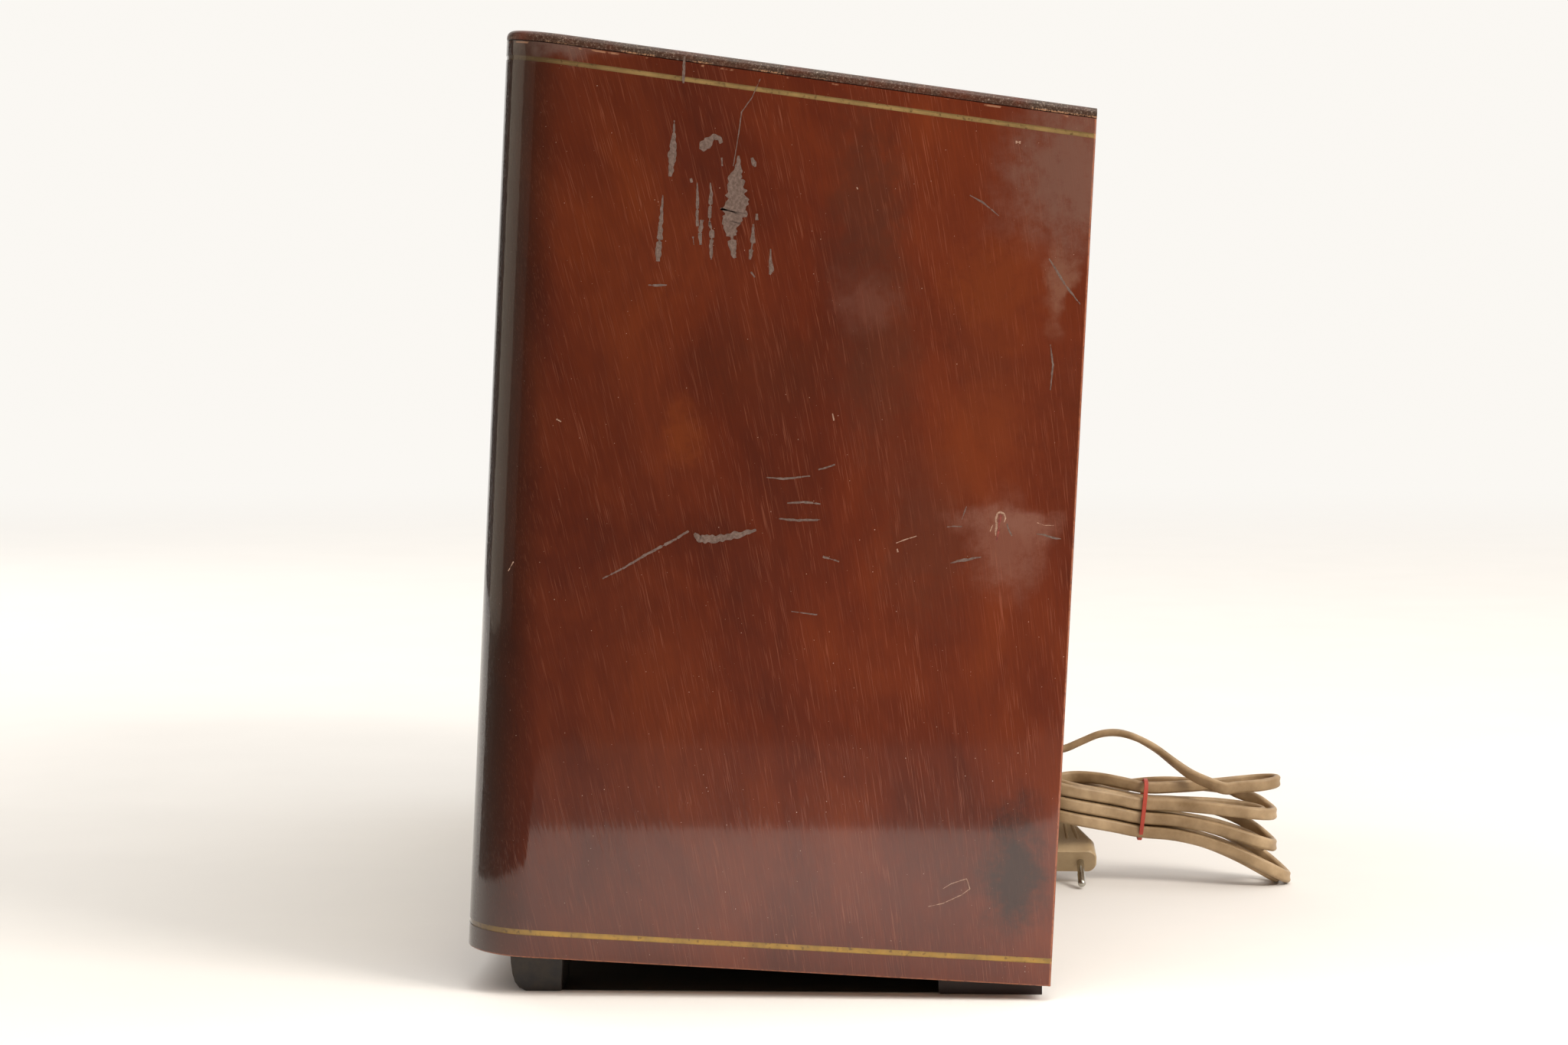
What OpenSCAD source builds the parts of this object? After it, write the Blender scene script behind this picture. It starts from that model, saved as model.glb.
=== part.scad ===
// Table radio of the nineteen-fifties: a bent plywood cabinet on four feet, leaning back.
// The frame stands on z = 0 and faces -Y. Cabinet parts are drawn in the cabinet's own
// directions: x across, u from the front to the rear, v up, square to the base.

/* [Cabinet] */
// Width of the cabinet
body_w = 600; // [560:1:680]
// Depth of the cabinet
body_d = 250; // [245:1:300]
// Height of the front edge, square to the base
front_h = 391.5; // [385:0.5:450]
// Fall of the top from the front to the rear
top_drop = 23.1; // [10:0.1:26]
// Backward lean of the cabinet, in degrees
lean = 2.78; // [0:0.01:4]
// Height of the front bottom edge above the table
front_lift = 18.4; // [17:0.1:30]
// Plan radius of the front corners
corner_r = 28.5; // [20:0.5:34]
// Thickness of the bent plywood sides
side_t = 9; // [7:0.5:12]
// Width of the front stile that each side turns into
stile_w = 46; // [40:1:54]
// Thickness of the bottom panel
bottom_t = 10; // [8:0.5:12]
// Thickness of the top panel's edge strip
top_t = 4.5; // [3.5:0.5:6]
// Thickness of the top panel's core, between the sides
core_t = 6; // [4:0.5:8]
// Radius of the top panel's worn edge
arris_r = 3; // [1.5:0.5:3.4]
// Height of the lower gilt line above the bottom edge
low_line_v = 10.8; // [8:0.1:16]
// Width of the lower gilt line
low_line_w = 2.3; // [1:0.1:4]
// Distance of the upper gilt line below the top surface
high_line_v = 11.8; // [9:0.1:18]
// Width of the upper gilt line
high_line_w = 1.8; // [1:0.1:4]
// Depth of the grooves that hold the gilt lines
line_depth = 0.4; // [0.2:0.1:0.8]

/* [Feet] */
// Distance of the feet from the sides of the cabinet
foot_inset = 14; // [10:1:30]
// Width of a foot
foot_w = 32; // [24:1:44]
// Length of a front foot
front_foot_l = 21; // [16:1:30]
// Distance of the front feet from the front edge
front_foot_u = 24; // [20:1:34]
// Radius of a front foot's lower front edge
foot_round = 4; // [2:0.5:6]
// Length of a rear foot
rear_foot_l = 44; // [30:1:60]
// Distance of the rear feet from the rear edge
rear_foot_gap = 3; // [2:0.5:8]

/* [Front frame and cloth] */
// Depth of the front frame
frame_t = 18; // [15:0.5:20]
// Width of the frame's sides, beside the stiles
frame_side = 14; // [10:1:18]
// Height of the bottom rail
rail_low = 30; // [28:1:33]
// Height of the top rail, below the top panel
rail_high = 26; // [22:1:30]
// Corner radius of the front opening
opening_r = 10; // [6:1:14]
// Thickness of the baffle board
baffle_t = 8; // [6:0.5:9]
// Thickness of the speaker cloth on its board
cloth_t = 1; // [0.6:0.1:1.4]
// Lower edge of the cloth
cloth_v = 180; // [178:1:186]
// Width of the metal trim round the cloth
trim_w = 4; // [3:0.5:6]
// Thickness of the metal trim
trim_t = 2; // [1.5:0.1:2.4]
// Number of trim bars across the cloth
trim_bars = 2; // [1:1:4]
// Radius of the cloth trim bars
bar_r = 1.2; // [0.8:0.1:1.6]

/* [Fascia and dial] */
// Depth of the fascia moulding
fascia_t = 6; // [5:0.5:7]
// Width of the dial glass
dial_w = 300; // [280:1:310]
// Height of the dial glass
dial_h = 66; // [60:1:68]
// Height of the middle of the dial
dial_v = 133; // [132:0.5:134]
// Thickness of the dial glass
glass_t = 3; // [2:0.5:3.5]
// Width of the ledge that the glass rests on
ledge_w = 5; // [4:0.5:7]
// Radius of the tuning eye
eye_r = 12; // [10:0.5:13]
// Distance of the tuning eye from the middle
eye_x = 125; // [122:1:127]
// Thickness of the pointer needle
needle_t = 1.2; // [0.8:0.1:1.6]
// Radius of the rail that the pointer slides on
rail_r = 1.5; // [1.2:0.1:2]
// Distance of the dial lamps from the middle
lamp_x = 60; // [40:1:90]

/* [Knobs] */
// Distance of the knobs from the middle
knob_x = 190; // [188:1:194]
// Height of the knobs
knob_v = 62; // [60:1:64]
// Radius of the front knobs
knob_r = 20; // [17:0.5:22]
// Depth of the front knobs
knob_l = 7; // [6:0.5:8]
// Radius of the rings behind the knobs
ring_r = 26; // [24:0.5:27]
// Depth of the rings
ring_l = 5; // [4:0.5:5.5]
// How far the knobs stand past the front plane
knob_proud = 1.5; // [0.5:0.5:2.5]
// Number of grip flutes on a knob
flutes = 24; // [18:2:32]
// Radius of the inner shafts
shaft_r = 3; // [2.5:0.25:3.5]
// Outer radius of the ring tubes
tube_r = 5; // [4.75:0.25:5.5]

/* [Keys] */
// Width of one key
key_w = 27; // [24:0.5:28]
// Distance from key to key
key_pitch = 29; // [28.5:0.5:29.5]
// Height of the key hinge
key_hinge_v = 66; // [65:0.5:67]
// Distance of the key hinge behind the front edge
key_hinge_u = 60; // [58:0.5:61]
// Radius of the hinge rod
rod_r = 2; // [1.5:0.25:2.5]
// Swing of a pressed key, in degrees
key_swing = 7; // [5:0.5:8]

/* [Tuning drive] */
// Radius of the drive drum, at the cord's centre
drum_r = 60; // [56:0.5:61]
// Thickness of the drum
drum_t = 8; // [7:0.5:9]
// Radius of the spindle, at the cord's centre
spindle_r = 5; // [4.5:0.1:5.5]
// Radius of the idler pulley, at the cord's centre
idler_r = 8; // [7:0.5:9]
// Radius of the dial cord
string_r = 0.6; // [0.4:0.1:0.8]
// Distance of the gang from the middle
gang_x = 146; // [145:0.5:148]
// Height of the gang's shaft
gang_v = 115; // [113:0.5:116]
// Length of the gang's frame
gang_l = 58; // [50:1:64]
// Width of the gang's frame
gang_w = 58; // [54:1:60]
// Radius of the gang's moving plates
plate_r = 20; // [17:0.5:21]
// Number of moving plates
plates = 8; // [5:1:8]
// Radius of the flywheel
flywheel_r = 21; // [17:0.5:23]
// Length of the flywheel
flywheel_l = 10; // [8:1:12]

/* [Chassis] */
// Width of the chassis
chassis_w = 436; // [430:1:450]
// Distance of the chassis from the front edge
chassis_u = 84; // [83:0.5:86]
// Depth of the chassis
chassis_d = 152; // [150:1:154]
// Height of the chassis
chassis_h = 80; // [78:0.5:82]
// Thickness of the chassis sheet
sheet_t = 1.5; // [1:0.25:2]
// Stack height of the mains transformer's core
core_stack = 34; // [28:1:36]
// Width of the mains transformer's core
core_w = 78; // [66:1:80]
// Height of the mains transformer's core
core_h = 66; // [56:1:68]
// Width of the output transformer's core
small_core_w = 48; // [40:1:54]
// Height of the output transformer's core
small_core_h = 40; // [34:1:46]
// Stack height of the output transformer's core
small_core_stack = 20; // [16:1:24]
// Radius of a valve's glass
valve_r = 11; // [10:0.25:11.5]
// Height of the tall valves
valve_tall = 72; // [66:1:76]
// Height of the short valves
valve_short = 58; // [50:1:62]
// Side of an intermediate-frequency can
can_w = 24; // [20:1:25]
// Height of an intermediate-frequency can
can_h = 50; // [44:1:60]
// Radius of the filter capacitor
capacitor_r = 17; // [14:0.5:18]
// Height of the filter capacitor
capacitor_h = 74; // [60:1:80]
// Width of the high band's tuner box
tuner_w = 44; // [36:1:46]
// Length of the high band's tuner box
tuner_l = 60; // [50:1:64]
// Height of the high band's tuner box
tuner_h = 34; // [28:1:40]
// Radius of the screening can on the tuner box
tuner_can_r = 12; // [10:0.5:14]
// Height of the screening can on the tuner box
tuner_can_h = 46; // [40:1:50]
// Half length of the ferrite rod
ferrite_half = 62; // [50:1:64]
// Radius of the ferrite rod
ferrite_r = 5; // [4:0.25:5.5]
// Height of the ferrite rod
ferrite_v = 190; // [188:0.5:194]

/* [Loudspeaker] */
// Radius of the loudspeaker's rim
speaker_r = 88; // [80:1:88]
// Height of the loudspeaker's middle
speaker_v = 275; // [275:0.5:278]
// Depth of the loudspeaker's frame
speaker_l = 56; // [48:1:60]
// Radius of the magnet
magnet_r = 36; // [30:1:38]
// Length of the magnet
magnet_l = 30; // [24:1:34]

/* [Back and bottom] */
// Length of a vent slot in the bottom
low_slot_l = 120; // [80:5:140]
// Width of a vent slot in the bottom
low_slot_w = 8; // [5:0.5:10]
// Distance between the rows of slots in the bottom
low_slot_step = 20; // [16:1:30]
// Side of the battens that the back is screwed to
batten = 12; // [10:0.5:14]
// Thickness of the hardboard back
back_t = 3; // [2.5:0.25:4]
// Distance of the back from the cabinet's rear edge
back_inset = 4; // [3:0.5:5]
// Length of a vent slot
slot_l = 40; // [30:1:44]
// Width of a vent slot
slot_w = 5; // [4:0.5:6]
// Distance from slot to slot
slot_pitch = 18; // [16:1:20]
// Number of vent slots in a row
slots = 22; // [10:1:24]
// Radius of an aerial socket's bore
socket_r = 2; // [1.9:0.05:2.1]
// Depth of an aerial socket
socket_l = 14; // [12:1:18]
// Distance between paired sockets
socket_pitch = 19; // [18:0.5:20]

/* [Mains cord] */
// Width of the flat cord
cord_w = 6.2; // [5.6:0.1:6.4]
// Thickness of the flat cord
cord_t = 3.7; // [3.3:0.1:3.9]
// Width of the red rubber band
band_w = 2.2; // [1.5:0.1:3]
// Thickness of the red rubber band
band_t = 1; // [0.6:0.1:1.2]
// Radius of a plug pin
pin_r = 2; // [1.9:0.05:2.4]
// Length of a plug pin
pin_l = 19; // [17:0.5:19]
// Distance between the plug pins
pin_gap = 18; // [17:0.5:18.6]

/* [Hidden] */
$fn = 48;

// Number of piano keys
keys = 5;
// Running clearance of a shaft in its hole, on the radius
run_gap = 0.05;
// Clearance between neighbouring pieces that don't touch
near_gap = 0.3;
// Length by which a cut runs past the surface that it opens
past = 1;

// Place of the cabinet's front bottom edge, so that the whole stands centred over the origin
rear_h = front_h - top_drop;
front_y = -(body_d * cos(lean) + rear_h * sin(lean)) / 2;
half_w = body_w / 2;
stile_x = half_w - stile_w;
fall = atan(top_drop / body_d);

// Height of the top surface above the base, at a depth u
function top_at(u) = front_h - u * top_drop / body_d;
// Place in the standing frame of a point of the cabinet
function stood(p) = [p[0], front_y + p[1] * cos(lean) + p[2] * sin(lean),
  front_lift - p[1] * sin(lean) + p[2] * cos(lean)];

// Leans and lifts a cabinet part onto its feet
module stand() {
  translate([0, front_y, front_lift]) rotate([-lean, 0, 0]) children();
}

// Turns a flat drawing of x and v into a slab that starts at depth u
module facing(u, depth) {
  translate([0, u + depth, 0]) rotate([90, 0, 0]) linear_extrude(depth) children();
}

// A round bar along the depth, from u for a length l
module shaft(x, v, u, r, l) {
  translate([x, u, v]) rotate([-90, 0, 0]) cylinder(r = r, h = l);
}

// A flat drawing of u and v, drawn out along x about the middle
module across(width) {
  rotate([90, 0, 90]) linear_extrude(width, center = true) children();
}

// Rectangle with round corners, centred
module round_rect(w, h, r) {
  square([w - 2 * r, h], center = true);
  square([w, h - 2 * r], center = true);
  for (sx = [-1, 1], sy = [-1, 1]) {
    translate([sx * (w / 2 - r), sy * (h / 2 - r)]) circle(r = r);
  }
}

// Outline of the cabinet seen from above, drawn in by an inset, and run on at the rear
module plan(inset, rear = 0) {
  r = corner_r - inset;
  w = half_w - inset;
  translate([-w, corner_r]) square([2 * w, body_d + rear - corner_r]);
  translate([-w + r, inset]) square([2 * (w - r), body_d + rear - inset]);
  for (s = [-1, 1]) translate([s * (w - r), corner_r]) circle(r = r, $fn = 96);
}

// Everything under a plane that lies a given distance below the sloping top
module under_top(drop) {
  across(body_w + 2 * past) polygon([[-past, -past], [body_d + past, -past],
    [body_d + past, top_at(body_d + past) - drop], [-past, top_at(-past) - drop]]);
}

// Depths of the front's layers
fascia_u = frame_t - fascia_t;
baffle_u = frame_t;
behind_baffle = baffle_u + baffle_t;
open_w = 2 * (stile_x - frame_side);
open_top = top_at(0) - top_t - rail_high;
open_mid = (rail_low + open_top) / 2;
inner_top = top_t + core_t + near_gap;

// One bent plywood side, rounded into its front stile, with the grooves of both gilt lines
module side(s) {
  color([0.42, 0.16, 0.08]) stand() difference() {
    intersection() {
      linear_extrude(front_h + past) difference() {
        plan(0);
        plan(side_t, past);
      }
      under_top(top_t);
      translate([s > 0 ? stile_x : -half_w - past, -past, -past])
        cube([half_w - stile_x + past, body_d + 2 * past, front_h + 4 * past]);
    }
    translate([0, 0, low_line_v - low_line_w / 2]) linear_extrude(low_line_w) groove();
    intersection() {
      linear_extrude(front_h + past) groove();
      difference() {
        under_top(high_line_v - high_line_w / 2);
        under_top(high_line_v + high_line_w / 2);
      }
    }
  }
}

// Plan of a line's groove in the outside of the sides
module groove() {
  difference() {
    plan(-past);
    plan(line_depth, past);
  }
}

// The top: a thin strip over the whole plan with a worn edge, and a core between the sides
module top_panel() {
  edge_t = top_t * cos(fall);
  start = edge_t * tan(fall);
  slope_l = body_d / cos(fall);
  core_u = (baffle_u + near_gap + (top_t + core_t) * sin(fall)) / cos(fall);
  core_end = slope_l - back_inset;
  core_x = half_w - side_t - near_gap;
  corner = max(0.1, corner_r - core_u + 1);
  color([0.36, 0.13, 0.07]) stand() translate([0, 0, front_h]) rotate([-fall, 0, 0]) {
    for (step = [0 : 2]) {
      a = 90 * step / 3;
      b = 90 * (step + 1) / 3;
      hull() {
        top_slice(arris_r * (1 - cos(a)), -arris_r * (1 - sin(a)), start, slope_l);
        top_slice(arris_r * (1 - cos(b)), -arris_r * (1 - sin(b)), start, slope_l);
      }
    }
    hull() {
      top_slice(0, -arris_r, start, slope_l);
      top_slice(0, -edge_t + 0.01, start, slope_l);
    }
    translate([0, 0, -edge_t - core_t]) linear_extrude(core_t + 0.02)
      polygon([[-core_x, core_u + corner], [corner - core_x, core_u], [core_x - corner, core_u],
        [core_x, core_u + corner], [core_x, core_end], [-core_x, core_end]]);
  }
}

// A thin slice of the top panel, drawn in by an inset at the front and the sides
module top_slice(inset, v, start, end) {
  r = corner_r - inset;
  w = half_w - inset;
  translate([0, 0, v - 0.01]) linear_extrude(0.01) hull() {
    for (s = [-1, 1]) {
      translate([s * (w - r), start + corner_r]) circle(r = r, $fn = 64);
      translate([s * (w - 0.5) - 0.5, end - 1]) square([1, 1]);
    }
  }
}

// The bottom panel, between the sides and behind the front frame
module bottom_panel() {
  color([0.55, 0.36, 0.2]) stand() difference() {
    translate([0, 0, 0]) linear_extrude(bottom_t) intersection() {
      plan(side_t + near_gap);
      translate([-half_w, baffle_u]) square([body_w, body_d - baffle_u - back_inset - back_t - near_gap]);
    }
    for (s = [-1, 1], row = [-1, 0, 1]) {
      translate([s * (low_slot_l / 2 + 60), body_d / 2 + row * low_slot_step, -past])
        linear_extrude(bottom_t + 2 * past) round_rect(low_slot_l, low_slot_w, low_slot_w / 2 - 0.1);
    }
  }
}

// The front frame between the stiles: rails and sides round one opening with a stepped edge
module front_frame() {
  rebate = 1.2;
  color([0.42, 0.16, 0.08]) stand() difference() {
    intersection() {
      translate([-stile_x, 0, 0]) cube([2 * stile_x, frame_t, front_h]);
      under_top(top_t);
    }
    facing(-past, frame_t + 2 * past) translate([0, open_mid])
      round_rect(open_w, open_top - rail_low, opening_r);
    for (step = [1 : 2]) facing(-past, past + rebate * (3 - step)) translate([0, open_mid])
      round_rect(open_w + 2 * rebate * step, open_top - rail_low + 2 * rebate * step, opening_r + rebate * step);
  }
}

// Opening of the dial in the boards behind the glass
module dial_window(grow) {
  translate([0, dial_v]) round_rect(dial_w - 2 * ledge_w + 2 * grow, dial_h - 2 * ledge_w + 2 * grow, 3);
}

// Opening for the row of keys, tall enough for a pressed key
module key_window(grow) {
  high = key_hinge_v + 14;
  low = key_hinge_v - 17 - key_hinge_u * sin(key_swing);
  translate([0, (high + low) / 2]) round_rect(keys * key_pitch + 4 + 2 * grow, high - low + 2 * grow, 3);
}

// The plywood board that carries the loudspeaker, with openings for dial, keys and shafts
module baffle_board() {
  color([0.62, 0.45, 0.28]) stand() difference() {
    intersection() {
      translate([-stile_x - 28, baffle_u, bottom_t]) cube([2 * (stile_x + 28), baffle_t, front_h]);
      under_top(inner_top);
    }
    facing(baffle_u - past, baffle_t + 2 * past) {
      translate([0, speaker_v]) circle(r = speaker_r - 8, $fn = 96);
      dial_window(2);
      key_window(0);
      for (s = [-1, 1]) translate([s * knob_x, knob_v]) circle(r = bush_r + near_gap / 2);
    }
    for (a = [45 : 90 : 315]) {
      shaft((speaker_r - 4) * cos(a), speaker_v + (speaker_r - 4) * sin(a), baffle_u - past, 1.8,
        baffle_t + 2 * past);
    }
  }
}

// The cloth that covers the board above the fascia
module speaker_cloth() {
  color([0.72, 0.6, 0.36]) stand() facing(baffle_u - cloth_t, cloth_t) intersection() {
    translate([0, open_mid]) round_rect(open_w - 1, open_top - rail_low - 1, opening_r - 0.5);
    translate([-half_w, cloth_v]) square([body_w, front_h]);
  }
}

// The metal trim round the cloth, with slim bars across it
module cloth_trim() {
  w = open_w - 6;
  low = cloth_v + 1;
  h = open_top - 3 - low;
  mid = low + h / 2;
  u = baffle_u - cloth_t - trim_t;
  color([0.78, 0.63, 0.3]) stand() {
    facing(u, trim_t) translate([0, mid]) difference() {
      round_rect(w, h, opening_r - 3);
      round_rect(w - 2 * trim_w, h - 2 * trim_w, opening_r - 5);
    }
    for (i = [1 : trim_bars]) {
      translate([-w / 2 + trim_w / 2, u + trim_t / 2, low + h * i / (trim_bars + 1)]) rotate([0, 90, 0])
        cylinder(r = min(bar_r, trim_t / 2), h = w - trim_w);
    }
  }
}

// The moulded fascia under the cloth: a dial window with a ledge, a key opening and two knob wells
module fascia() {
  low = rail_low + 0.5;
  high = cloth_v - 0.5;
  color([0.86, 0.79, 0.62]) stand() difference() {
    union() {
      facing(fascia_u, fascia_t) intersection() {
        translate([0, open_mid]) round_rect(open_w - 1, open_top - rail_low - 1, opening_r - 0.5);
        translate([-half_w, low]) square([body_w, high - low]);
      }
      facing(fascia_u - 2, 2 + fascia_t / 2) difference() {
        translate([0, dial_v]) round_rect(dial_w + 10, dial_h + 10, 6);
        translate([0, dial_v]) round_rect(dial_w + 2, dial_h + 2, 3);
      }
      facing(fascia_u - 1.5, 1.5 + fascia_t / 2) difference() {
        key_window(3);
        key_window(0);
      }
    }
    facing(fascia_u - 4, 4 + glass_t) translate([0, dial_v])
      round_rect(dial_w + 2 * near_gap, dial_h + 2 * near_gap, 2.5);
    facing(fascia_u - 4, fascia_t + 8) {
      dial_window(0);
      key_window(0);
    }
    for (s = [-1, 1]) {
      shaft(s * knob_x, knob_v, fascia_u - past, ring_r + 2.5, past + 1.5);
      shaft(s * knob_x, knob_v, fascia_u - past, bush_r + near_gap / 2, fascia_t + 2 * past);
    }
  }
}

// The dial glass, bedded on the fascia's ledge
module dial_glass() {
  color([0.7, 0.78, 0.75, 0.5]) stand() facing(fascia_u, glass_t) translate([0, dial_v])
    round_rect(dial_w, dial_h, 2.3);
}

// Two front feet, taller than the rear ones, so that the cabinet leans back
module front_feet() {
  color([0.08, 0.07, 0.07]) for (s = [-1, 1]) {
    x = s * (half_w - foot_inset - foot_w / 2);
    translate([x, 0, 0]) across(foot_w) foot_outline(front_foot_u, front_foot_l, foot_round);
  }
}

// Two low blocks under the rear edge
module rear_feet() {
  color([0.3, 0.16, 0.1]) for (s = [-1, 1]) {
    x = s * (half_w - foot_inset - foot_w / 2);
    translate([x, 0, 0]) across(foot_w) foot_outline(body_d - rear_foot_gap - rear_foot_l, rear_foot_l, 1);
  }
}

// Side outline of a foot: flat on the table, cut at the cabinet's slanting base
module foot_outline(u, length, r) {
  y = front_y + u * cos(lean);
  l = length * cos(lean);
  z = front_lift - u * sin(lean);
  translate([y + r, r]) circle(r = r);
  polygon([[y, r], [y + r, 0], [y + l, 0], [y + l, z - l * tan(lean)], [y, z]]);
}

// Places along the depth of the controls
knob_u = -knob_proud;
ring_u = knob_u + knob_l + 0.5;
bush_r = tube_r + 3;
drum_u = chassis_u - 4 - drum_t;
tube_end = drum_u - 3;
inside_u = chassis_u + sheet_t;
eye_u = behind_baffle + 2;
needle_u = behind_baffle + 2;
scale_u = needle_u + needle_t + 3;
string_v = gang_v + drum_r;
idler_v = string_v - idler_r;
idler_x = -dial_w / 2 + 20;
spindle_u = drum_u + drum_t * 3 / 4;
string_u = drum_u + drum_t / 4;
arm_right = gang_x + drum_r + 7;
arm_left = idler_x - 24;
rail_v = string_v + 3.6;
rail_u = scale_u + 14;

// A front knob: a turned cap with flutes round its edge and a dished face
module knob(s) {
  rim = 1.2;
  stand() translate([s * knob_x, knob_u, knob_v]) rotate([-90, 0, 0]) difference() {
    rotate_extrude($fn = 72) polygon(concat([[0, 1.4], [knob_r * 0.55, 1.2], [knob_r * 0.8, 0.2]],
      [for (a = [90 : -15 : 0]) [knob_r - rim + rim * cos(a), rim - rim * sin(a)]],
      [[knob_r, knob_l], [0, knob_l]]));
    for (i = [0 : flutes - 1]) {
      rotate([0, 0, 360 * i / flutes]) translate([knob_r + 0.5, 0, rim]) cylinder(r = 1.1, h = knob_l, $fn = 16);
    }
    translate([0, 0, 3]) cylinder(r = shaft_r + run_gap, h = knob_l);
  }
}

// A ring behind a front knob, slimmer, with its own flutes
module ring(s) {
  stand() translate([s * knob_x, ring_u, knob_v]) rotate([-90, 0, 0]) difference() {
    rotate_extrude($fn = 72) polygon([[tube_r + run_gap, 0], [ring_r - 1.5, 0], [ring_r, 1.5],
      [ring_r, ring_l - 1], [ring_r - 1, ring_l], [tube_r + run_gap, ring_l]]);
    for (i = [0 : flutes * 2 - 1]) {
      rotate([0, 0, 180 * i / flutes]) translate([ring_r + 0.5, 0, -past])
        cylinder(r = 1, h = ring_l + 2 * past, $fn = 16);
    }
  }
}

// The tube that a ring turns, round the inner shaft
module tube(s, length) {
  stand() translate([s * knob_x, ring_u, knob_v]) rotate([-90, 0, 0]) difference() {
    cylinder(r = tube_r, h = length);
    translate([0, 0, -past]) cylinder(r = shaft_r + run_gap, h = length + 2 * past);
  }
}

module volume_knob() {
  color([0.83, 0.76, 0.6]) knob(-1);
}

module tuning_knob() {
  color([0.83, 0.76, 0.6]) knob(1);
}

module tone_ring() {
  color([0.62, 0.48, 0.28]) ring(-1);
}

module aerial_ring() {
  color([0.62, 0.48, 0.28]) ring(1);
}

// Tube of the tone ring, into the volume and tone control
module tone_tube() {
  color([0.75, 0.75, 0.76]) tube(-1, inside_u + 4 - ring_u);
}

// Tube of the aerial ring, with a small pulley for the ferrite rod's string
module aerial_tube() {
  color([0.75, 0.75, 0.76]) {
    tube(1, tube_end - ring_u);
    stand() translate([knob_x, tube_end - 8, knob_v]) rotate([-90, 0, 0]) rotate_extrude()
      polygon([[tube_r - 0.01, 0], [11, 0], [11, 1.2], [9.5, 2.4], [9.5, 3.6], [11, 4.8], [11, 6],
        [tube_r - 0.01, 6]]);
  }
}

// Shaft of the volume knob, with the flat end inside the control
module volume_shaft() {
  color([0.7, 0.7, 0.72]) stand() shaft(-knob_x, knob_v, knob_u + 3, shaft_r, inside_u + 14 - knob_u - 3);
}

// Tuning shaft: the grooved spindle that drives the drum, and a flywheel inside the chassis
module tuning_shaft() {
  wheel_u = inside_u + 5;
  color([0.78, 0.66, 0.38]) stand() {
    shaft(knob_x, knob_v, knob_u + 3, shaft_r, wheel_u + flywheel_l + 4 - knob_u - 3);
    translate([knob_x, spindle_u - 2, knob_v]) rotate([-90, 0, 0]) rotate_extrude()
      polygon([[0, 0], [spindle_r + 0.4, 0], [spindle_r + 0.4, 0.6], [spindle_r - string_r - near_gap, 1.2],
        [spindle_r - string_r - near_gap, 2.8], [spindle_r + 0.4, 3.4], [spindle_r + 0.4, 4], [0, 4]]);
    translate([knob_x, wheel_u, knob_v]) rotate([-90, 0, 0]) difference() {
      cylinder(r = flywheel_r, h = flywheel_l, $fn = 72);
      translate([0, 0, flywheel_l - 3]) difference() {
        cylinder(r = flywheel_r - 4, h = 3 + past);
        cylinder(r = shaft_r + 4, h = 3 + past);
      }
    }
  }
}

// Bushes in the board, one for each tube
module front_bushes() {
  color([0.8, 0.68, 0.4]) stand() for (s = [-1, 1]) {
    translate([s * knob_x, ring_u + ring_l + near_gap, knob_v]) rotate([-90, 0, 0]) difference() {
      union() {
        cylinder(r = bush_r, h = behind_baffle + 5 - ring_u - ring_l);
        translate([0, 0, behind_baffle + near_gap - ring_u - ring_l - near_gap])
          cylinder(r = bush_r + 3, h = 3, $fn = 6);
      }
      translate([0, 0, -past]) cylinder(r = tube_r + run_gap, h = frame_t + baffle_t + 10);
    }
  }
}

// Middle of a key across the radio
function key_x(i) = (i - (keys + 1) / 2) * key_pitch;

// A piano key: round nose, hollow underside, and a hub on the hinge rod
module key(i) {
  u = key_hinge_u;
  v = key_hinge_v;
  color([0.9, 0.85, 0.72]) stand() translate([key_x(i), 0, 0]) {
    difference() {
      across(key_w) key_outline(u, v);
      translate([0, 0, 0]) across(key_w - 4)
        polygon([[13, v - 13], [13, v - 4], [20, v + 1], [u - 12, v + 1], [u - 12, v - 13]]);
      translate([0, u, v]) rotate([0, 90, 0]) cylinder(r = rod_r + run_gap, h = key_w + 2, center = true);
    }
  }
}

// Side outline of a key, with a round nose and a round rear end at the hinge
module key_outline(u, v) {
  polygon(concat([for (a = [90 : 15 : 270]) [9 + 7 * cos(a), v - 3 + 7 * sin(a)]], [[24, v - 8]],
    [for (a = [-90 : 15 : 90]) [u + 6 * cos(a), v + 6 * sin(a)]], [[24, v + 6.5]]));
}

// The bracket of the keys: two cheeks, the hinge rod between them and the band switch behind
module key_frame() {
  w = keys * key_pitch + 3;
  color([0.7, 0.7, 0.68]) stand() {
    for (s = [-1, 1]) translate([s * (w / 2 + sheet_t / 2), 0, 0]) across(sheet_t)
      polygon([[key_hinge_u - 8, key_hinge_v - 7], [key_hinge_u - 8, key_hinge_v + 5],
        [key_hinge_u + 8, key_hinge_v + 5], [chassis_u, key_hinge_v - 6], [chassis_u, 38], [key_hinge_u + 6, 38]]);
    translate([0, key_hinge_u, key_hinge_v]) rotate([0, 90, 0])
      cylinder(r = rod_r, h = w + 2 * sheet_t + 4, center = true);
    translate([-w / 2 - 0.1, key_hinge_u + 8, 40]) cube([w + 0.2, chassis_u - key_hinge_u - 8, 16]);
  }
}

module key_1() key(1);
module key_2() key(2);
module key_3() key(3);
module key_4() key(4);
module key_5() key(5);

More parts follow.
